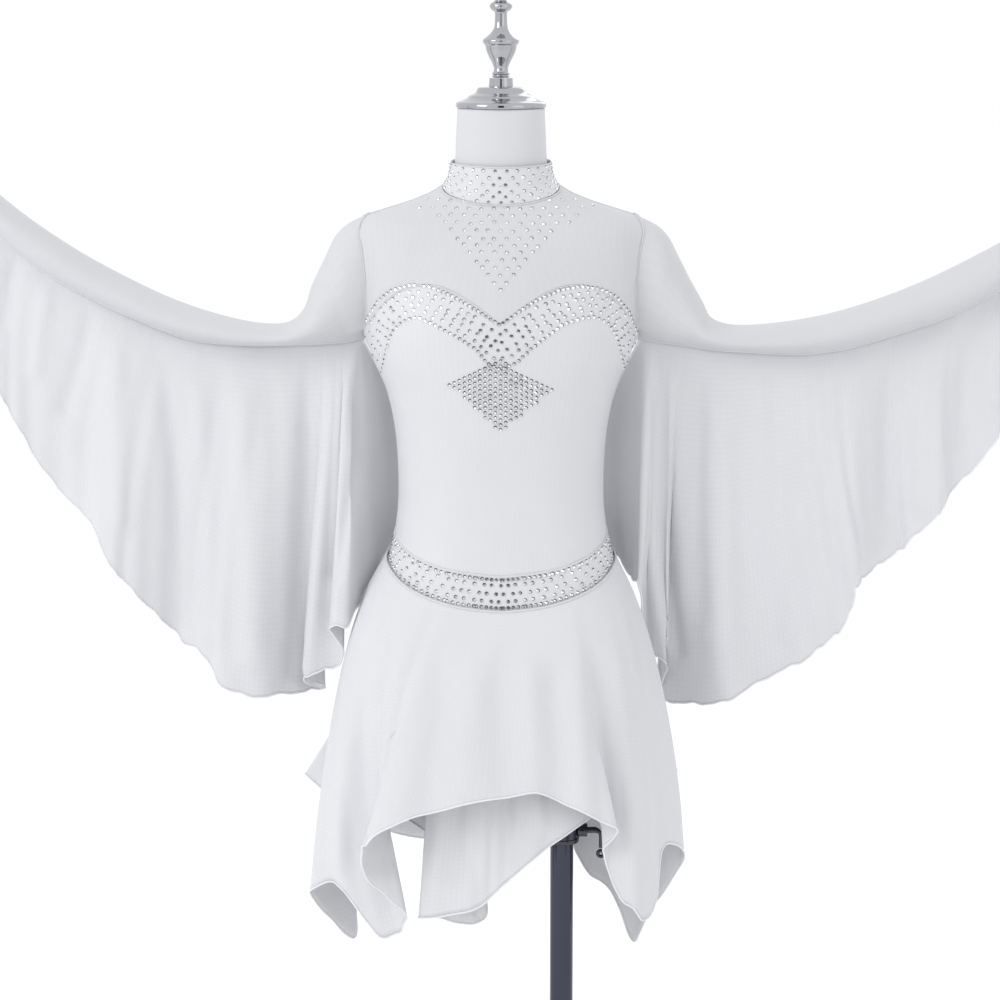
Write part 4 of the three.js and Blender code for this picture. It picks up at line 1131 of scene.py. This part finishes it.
def crystals(name, places, width, seed):
    """Crystals glued on the cloth at the places, joined in one piece."""
    shape, cut = cut_crystal()
    chance = np.random.default_rng(seed)
    points, faces, painted_light = [], [], []
    for at, normal in places:
        up = Vector((0, 0, 1)) if abs(normal.z) < 0.9 else Vector((0, 1, 0))
        side = up.cross(normal).normalized()
        rise = normal.cross(side)
        turn = chance.uniform(0, math.pi / 4)
        size = width / 2 * chance.uniform(0.93, 1.06)
        start = len(points)
        cos, sin = math.cos(turn), math.sin(turn)
        for x, y, z in shape:
            a, b = (x * cos - y * sin) * size, (x * sin + y * cos) * size
            points.append(at + side * a + rise * b + normal * (z * size + 0.0001))
        # Painted light on the facets, set by which way each facet faces: facets facing up and away from
        # the dress's middle get painted shade, those facing down and inwards a painted highlight.
        outward = max(-1.0, min(1.0, at.x / 0.03))
        dull = chance.uniform(0.0, 0.25)
        for face in cut:
            middle = shape[list(face)].mean(axis=0)
            across, up_by = middle[0] * cos - middle[1] * sin, middle[0] * sin + middle[1] * cos
            shade = 0.75 * up_by + 0.6 * outward * across
            # The top facet gets a bright painted reflection.
            table = len(face) == 8 and face[0] == 16
            if table:
                painted_light.append(chance.uniform(0.75, 1.0) - dull)
            else:
                painted_light.append(0.52 - dull - 0.85 * shade + chance.uniform(-0.16, 0.16))
            faces.append(tuple(start + i for i in face))
    piece = piece_from(name, points, faces, finish("crystal"))
    piece.data.polygons.foreach_set("use_smooth", [False] * len(faces))
    layer = piece.data.attributes.new("facet_painted_light", "FLOAT", "FACE")
    layer.data.foreach_set("value", np.clip(painted_light, 0, 1))
    return piece


class DRESS_OT_crystals(bpy.types.Operator):
    """Crystals on the collar, yoke, sweetheart band, diamond and waist band"""

    bl_idname = "dress.crystals"
    bl_label = "Crystals"

    def execute(self, context):
        sizes = context.scene.dress_sizes
        front = nearest_shell(["yoke_front", "bodice_front"])
        shake = np.random.default_rng(11)

        band = [*evenly(BAND_UPPER, UPPER_EDGE_COUNT), *evenly(BAND_LOWER, LOWER_EDGE_COUNT)]
        upper, lower = (evenly(line, 2 * BAND_ROW_COUNT) for line in (BAND_UPPER, BAND_LOWER))
        for row in range(1, BAND_ROWS + 1):
            line = (upper + (lower - upper) * (row / (BAND_ROWS + 1)))[row % 2 :: 2]
            band += [p + shake.uniform(-1.5, 1.5, 2) for p in line]
        crystals("sweetheart_crystals", on_front(front, band), sizes.crystal * 1.04, 3)

        pitch = sizes.motif_pitch / MM
        middle_x, middle_z = DIAMOND_MIDDLE
        diamond = [
            (middle_x + column * pitch, middle_z + (row + 0.5 * (column % 2)) * pitch)
            for column in range(-11, 12)
            for row in range(-9, 10)
        ]
        diamond = [place for place in diamond if inside(place, DIAMOND)]
        crystals("diamond_crystals", on_front(front, diamond), sizes.crystal * 1.06, 4)

        yoke = nearest_shell(["yoke_front"])
        across, up = FIELD_PITCH
        field = [
            ((column + 0.5 * (row % 2)) * across, FIELD_LOW + row * up) + shake.uniform(-1.2, 1.2, 2)
            for row in range(14)
            for column in range(-9, 10)
        ]
        field = [place for place in field if inside(place, V_FIELD)]
        crystals("yoke_crystals", on_front(yoke, field), sizes.crystal * 0.95, 5)

        def round_rows(rows, count, top, step, slip):
            """Staggered rows all round, as shares across and down."""
            return [
                ((k + 0.5 * (row % 2)) / count + shake.uniform(-slip, slip), top + row * step)
                for row in range(rows)
                for k in range(count)
            ]

        ring = round_rows(*COLLAR_ROWS)
        crystals("collar_crystals", on_grid("collar", ring), sizes.crystal * 0.95, 6)
        band = [(k / WAIST_EDGE_COUNT, edge) for k in range(WAIST_EDGE_COUNT) for edge in WAIST_EDGES]
        band += round_rows(*WAIST_ROWS)
        crystals("waist_crystals", on_grid("waist_band", band), sizes.band_crystal, 7)
        return {"FINISHED"}


# ---- Cap, finial and stand


def turned_piece(name, outline, material, body, nodes, x=0.0, sides=72, smooth=0):
    """A piece turned from an outline of (radius, height) in millimetres, from its foot up.
    It is extruded and scaled ring by ring. smooth gives a number of rings on a smooth curve."""
    profile = spaced(np.array(outline, float), smooth, False) if smooth else np.array(outline, float)
    profile = profile * MM
    nothing_selected()
    radius, height = profile[0]
    bpy.ops.mesh.primitive_circle_add(
        vertices=sides, radius=radius, fill_type="NGON", location=(x, 0, height)
    )
    piece = bpy.context.object
    piece.name = name
    bpy.ops.object.mode_set(mode="EDIT")
    for wide, high in profile[1:]:
        bpy.ops.mesh.extrude_region_move(TRANSFORM_OT_translate={"value": (0, 0, high - height)})
        if wide != radius:
            share = max(wide, 1e-5) / radius
            bpy.ops.transform.resize(value=(share, share, 1), center_override=(x, 0, high))
        radius, height = max(wide, 1e-5), high
    bpy.ops.object.mode_set(mode="OBJECT")
    placed(piece, material, body, nodes)


CAP_OUTLINE = [
    (46.6, 1430.4), (47.6, 1431.2), (47.9, 1434), (46.8, 1436.2), (44, 1437.4), (40.5, 1438.6),
    (35.5, 1441.2), (34.2, 1442.6), (32.6, 1443.6), (28, 1445.6), (26.4, 1447.2), (25.4, 1449.6),
    (23.6, 1451.6), (19, 1452.4), (13.4, 1452.8), (12.9, 1454), (12.4, 1461.6),
]
FINIAL_OUTLINE = [
    (8.2, 1462), (9.6, 1463.2), (8.6, 1464.6), (9.7, 1466.2), (8.2, 1468), (7.5, 1470.4),
    (7.6, 1472.4), (10.0, 1478.2), (13.4, 1484.8), (15.6, 1490.4), (16.8, 1495.4), (18.4, 1497.4),
    (19.3, 1500.2), (18.2, 1502.4), (15.6, 1504.4), (12.2, 1507.2), (9.4, 1510.4), (7.4, 1514),
    (6.6, 1518.6), (6.4, 1524.6), (6.6, 1529.8), (9.2, 1531.6), (11.4, 1534.2), (11.9, 1536.6),
    (10.8, 1539), (7.6, 1541), (6.3, 1542.8), (7.2, 1544.6), (9.6, 1548), (11.6, 1552.6),
    (12.3, 1558), (11.6, 1563.6), (9.2, 1568.6), (5.6, 1572.4), (1.4, 1574.6),
]
BASE_OUTLINE = [
    (186.5, 0.2), (189.2, 1.2), (190, 3), (190, 6.4), (189.2, 8.2), (187, 9.2), (150, 11),
    (70, 14), (30, 15.4), (20, 15.9), (19, 16),
]


class DRESS_OT_cap(bpy.types.Operator):
    """The chrome neck cap and its turned finial"""

    bl_idname = "dress.cap"
    bl_label = "Cap and finial"

    def execute(self, context):
        chrome = finish("chrome")
        turned_piece("cap_metal", CAP_OUTLINE, chrome, DRESSED, ["neck_cap"], smooth=58)
        turned_piece("finial_metal", FINIAL_OUTLINE, chrome, DRESSED, ["finial"], sides=48, smooth=150)
        return {"FINISHED"}


class DRESS_OT_stand(bpy.types.Operator):
    """The round base, the pole and the mast that slides in it"""

    bl_idname = "dress.stand"
    bl_label = "Stand"

    def execute(self, context):
        steel = finish("pole")
        turned_piece("base_plate", BASE_OUTLINE, finish("base"), STAND, ["base"], POLE_X, 128)
        tube = [
            (10.8, 16.4), (12.7, 16.4), (12.8, 16.7), (12.8, 655.4), (12.4, 656), (11.0, 656),
            (10.8, 655.4),
        ]
        ringed("pole_tube", tube, steel, STAND, ["pole"])
        ferrule = [
            (12.95, 16.2), (20, 16.2), (20.6, 17), (20.4, 21), (18, 25), (15.5, 28), (14.4, 32),
            (13.4, 33), (12.95, 33),
        ]
        ringed("pole_ferrule", ferrule, finish("chrome"), STAND, [])
        mast = [
            (9.4, 430), (10, 430.8), (10, 756), (11.5, 761), (16, 764.5), (26, 766.5), (29.4, 768),
            (30, 770), (30, 773.6), (29.5, 774.6),
        ]
        turned_piece("mast_rod", mast, steel, DRESSED, ["mast"], POLE_X, 56)
        return {"FINISHED"}


def ringed(name, profile, material, body, nodes):
    """A ring about the pole's axis: its cross-section is drawn and spun once round."""
    mesh = bpy.data.meshes.new(name)
    points = [(POLE_X + r * MM, 0, z * MM) for r, z in profile]
    mesh.from_pydata(points, [(i, (i + 1) % len(points)) for i in range(len(points))], [])
    piece = linked(name, mesh)
    made_active(piece)
    bpy.ops.object.mode_set(mode="EDIT")
    bpy.ops.mesh.select_all(action="SELECT")
    bpy.ops.mesh.spin(steps=64, angle=2 * math.pi, center=(POLE_X, 0, 0), axis=(0, 0, 1))
    bpy.ops.mesh.select_all(action="SELECT")
    bpy.ops.mesh.remove_doubles(threshold=1e-6)
    bpy.ops.object.mode_set(mode="OBJECT")
    placed(piece, material, body, nodes)


CLAMP_LOW, CLAMP_TOP, CLAMP_RADIUS, CLAMP_BORE = 628, 656, 19, 13.1
SCREW_Z, SCREW_RADIUS = 641, 3.5
LEVER_X, LEVER_LOW_Z = 110, 614
# The lever's line, as x and as height from the screw, in millimetres.
LEVER_BEND = [
    (95.3, 0), (99, 0), (103, 0), (106.3, -0.9), (108.6, -3), (109.8, -6), (LEVER_X, -10),
    (LEVER_X, -20),
]


class DRESS_OT_clamp(bpy.types.Operator):
    """The height clamp: its collar with a screw boss, and the bent lever"""

    bl_idname = "dress.clamp"
    bl_label = "Clamp"

    def execute(self, context):
        dark = finish("clamp")
        low, top, wide, inner = CLAMP_LOW, CLAMP_TOP, CLAMP_RADIUS, CLAMP_BORE
        lower = [
            (inner, 0.6), (inner + 0.6, 0), (wide - 1.8, 0), (wide - 0.5, 0.6), (wide, 1.9),
            (wide, 5), (wide - 0.8, 5.8),
        ]
        section = [(r, low + z) for r, z in lower] + [(r, top - z) for r, z in reversed(lower)]
        ringed("clamp_collar_metal", section, dark, STAND, ["clamp_collar"])
        self.bar("clamp_boss", 7.5, 84.2, 95, 0.8, dark, STAND)
        self.lever(dark)
        return {"FINISHED"}

    def bar(self, name, radius, start, end, bevel, material, body):
        """A round bar along the screw, with bevelled ends."""
        nothing_selected()
        bpy.ops.mesh.primitive_cylinder_add(
            vertices=40, radius=radius * MM, depth=(end - start) * MM,
            location=((start + end) / 2 * MM, 0, SCREW_Z * MM), rotation=(0, math.pi / 2, 0),
        )
        piece = bpy.context.object
        piece.name = name
        applied(piece, "BEVEL", width=bevel * MM, segments=3, limit_method="ANGLE")
        placed(piece, material, body)

    def lever(self, dark):
        """The screw's arm, curved down into a thinner rod with a ring end."""
        line = spaced(np.array([(x * MM, 0, (SCREW_Z + z) * MM) for x, z in LEVER_BEND]), 40, False)
        thinner = np.clip((np.linspace(0, 1, len(line)) - 0.3) / 0.35, 0, 1)
        radii = (SCREW_RADIUS - 1.3 * thinner) * MM
        arm = cord_mesh([(line, False)], radii, 20, (0, 1, 0))
        lever = piece_from("clamp_lever_metal", *arm, dark, LEVER)
        facing_out(lever)
        nothing_selected()
        bpy.ops.mesh.primitive_torus_add(
            location=(LEVER_X * MM, 0, LEVER_LOW_Z * MM), rotation=(math.pi / 2, 0, 0),
            major_segments=40, minor_segments=16, major_radius=3.3 * MM, minor_radius=2.0 * MM,
        )
        bpy.context.object.name = "clamp_lever_ring"
        placed(bpy.context.object, dark, LEVER)
        self.bar("clamp_screw", SCREW_RADIUS, 81.5, 96, 0.3, dark, LEVER)
        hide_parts("clamp_lever")


# ---- Stage


# Softboxes: name, place, the point they face, width and height, and share of the key's power.
SOFTBOXES = [
    ("key", (-2.5, -2.0, 2.6), (0, 0, 1.0), (1.5, 1.5), 1),
    ("fill", (2.2, -2.2, 1.7), (0, 0, 1.0), (1.6, 2.0), 0.12),
    ("rim", (1.2, 2.6, 2.6), (0, 0, 1.1), (1.6, 1.6), 0.2),
]
CARD_PLACE, CARD_SIZE = (0, -4.2, 1.7), (1.1, 3.2, 1)
CAMERA_TILT, CAMERA_DISTANCE, CAMERA_MIDDLE = math.radians(10), 3.2, 1.010


class DRESS_OT_stage(bpy.types.Operator):
    """The pale floor, the soft studio light and the camera"""

    bl_idname = "dress.stage"
    bl_label = "Stage"

    def execute(self, context):
        settings = context.scene.dress_stage
        nothing_selected()
        bpy.ops.mesh.primitive_plane_add(size=900, location=(0, 0, 0))
        floor = context.object
        floor.name = "floor"
        pale = Finish("dress_floor", tuple(settings.floor), 0.9, Specular_IOR_Level=0.1)
        pale.roughness(pale.noise(pale.place(), 3.0), 0.85, 0.95)
        floor.data.materials.append(pale.material)

        world = bpy.data.worlds.new("studio")
        context.scene.world = world
        world.use_nodes = True
        background = world.node_tree.nodes["Background"]
        background.inputs["Color"].default_value = (0.985, 0.99, 1.0, 1)
        background.inputs["Strength"].default_value = settings.sky

        for name, at, toward, size, share in SOFTBOXES:
            self.softbox(name, at, toward, size, settings.key_power * share)
        self.dark_card()
        self.camera()
        context.scene.view_settings.view_transform = "Standard"
        return {"FINISHED"}

    def softbox(self, name, at, toward, size, power):
        lamp = bpy.data.lights.new(name, "AREA")
        lamp.shape = "RECTANGLE"
        lamp.size, lamp.size_y = size
        lamp.energy = power
        box = linked(name, lamp)
        box.location = at
        box.rotation_euler = (Vector(toward) - Vector(at)).to_track_quat("-Z", "Y").to_euler()

    def dark_card(self):
        """A narrow black backdrop behind the camera, which polished metal mirrors as a dark line."""
        nothing_selected()
        bpy.ops.mesh.primitive_plane_add(size=1, location=CARD_PLACE, rotation=(math.pi / 2, 0, 0))
        card = bpy.context.object
        card.name = "dark_backdrop"
        card.scale = CARD_SIZE
        bpy.ops.object.transform_apply(location=True, rotation=True, scale=True)
        felt = Finish("dress_felt", (0.01, 0.01, 0.012), 0.95, Specular_IOR_Level=0.05)
        felt.relief(felt.noise(felt.place(), 60.0), 0.2, 0.002)
        card.data.materials.append(felt.material)
        card.visible_camera = False

    def camera(self):
        """The camera stands before the dress and looks a little down on its middle."""
        eye = bpy.data.cameras.new("camera")
        camera = linked("camera", eye)
        away, up = CAMERA_DISTANCE * math.cos(CAMERA_TILT), CAMERA_DISTANCE * math.sin(CAMERA_TILT)
        camera.location = (0, -away, CAMERA_MIDDLE + up)
        camera.rotation_euler = (math.radians(90) - CAMERA_TILT, 0, 0)
        eye.sensor_width = 36
        eye.lens = 106.67
        eye.shift_x = -0.001
        eye.clip_end = 1000
        bpy.context.scene.camera = camera


# ---- The add-on

STEPS = (
    DRESS_OT_stage, DRESS_OT_form, DRESS_OT_panels, DRESS_OT_brief, DRESS_OT_skirts,
    DRESS_OT_sleeves, DRESS_OT_wings, DRESS_OT_seams, DRESS_OT_crystals, DRESS_OT_cap,
    DRESS_OT_stand, DRESS_OT_clamp,
)


class DRESS_PT_pieces(bpy.types.Panel):
    """Sizes, colours and steps of the dress"""

    bl_idname = "DRESS_PT_pieces"
    bl_label = "Skating dress"
    bl_space_type = "VIEW_3D"
    bl_region_type = "UI"
    bl_category = "Skating dress"

    def draw(self, context):
        scene = context.scene
        for group in (scene.dress_sizes, scene.dress_colours, scene.dress_stage):
            box = self.layout.box()
            for name in group.bl_rna.properties.keys():
                if name not in ("rna_type", "name"):
                    box.prop(group, name)
        for step in STEPS:
            self.layout.operator(step.bl_idname)


CLASSES = (DressSizes, DressColours, StageSettings, *STEPS, DRESS_PT_pieces)


def register():
    for one in CLASSES:
        bpy.utils.register_class(one)
    bpy.types.Scene.dress_sizes = bpy.props.PointerProperty(type=DressSizes)
    bpy.types.Scene.dress_colours = bpy.props.PointerProperty(type=DressColours)
    bpy.types.Scene.dress_stage = bpy.props.PointerProperty(type=StageSettings)


def unregister():
    del bpy.types.Scene.dress_stage
    del bpy.types.Scene.dress_colours
    del bpy.types.Scene.dress_sizes
    for one in reversed(CLASSES):
        bpy.utils.unregister_class(one)


def main():
    register()
    for step in STEPS:
        group, name = step.bl_idname.split(".")
        getattr(getattr(bpy.ops, group), name)()


if __name__ == "__main__":
    main()
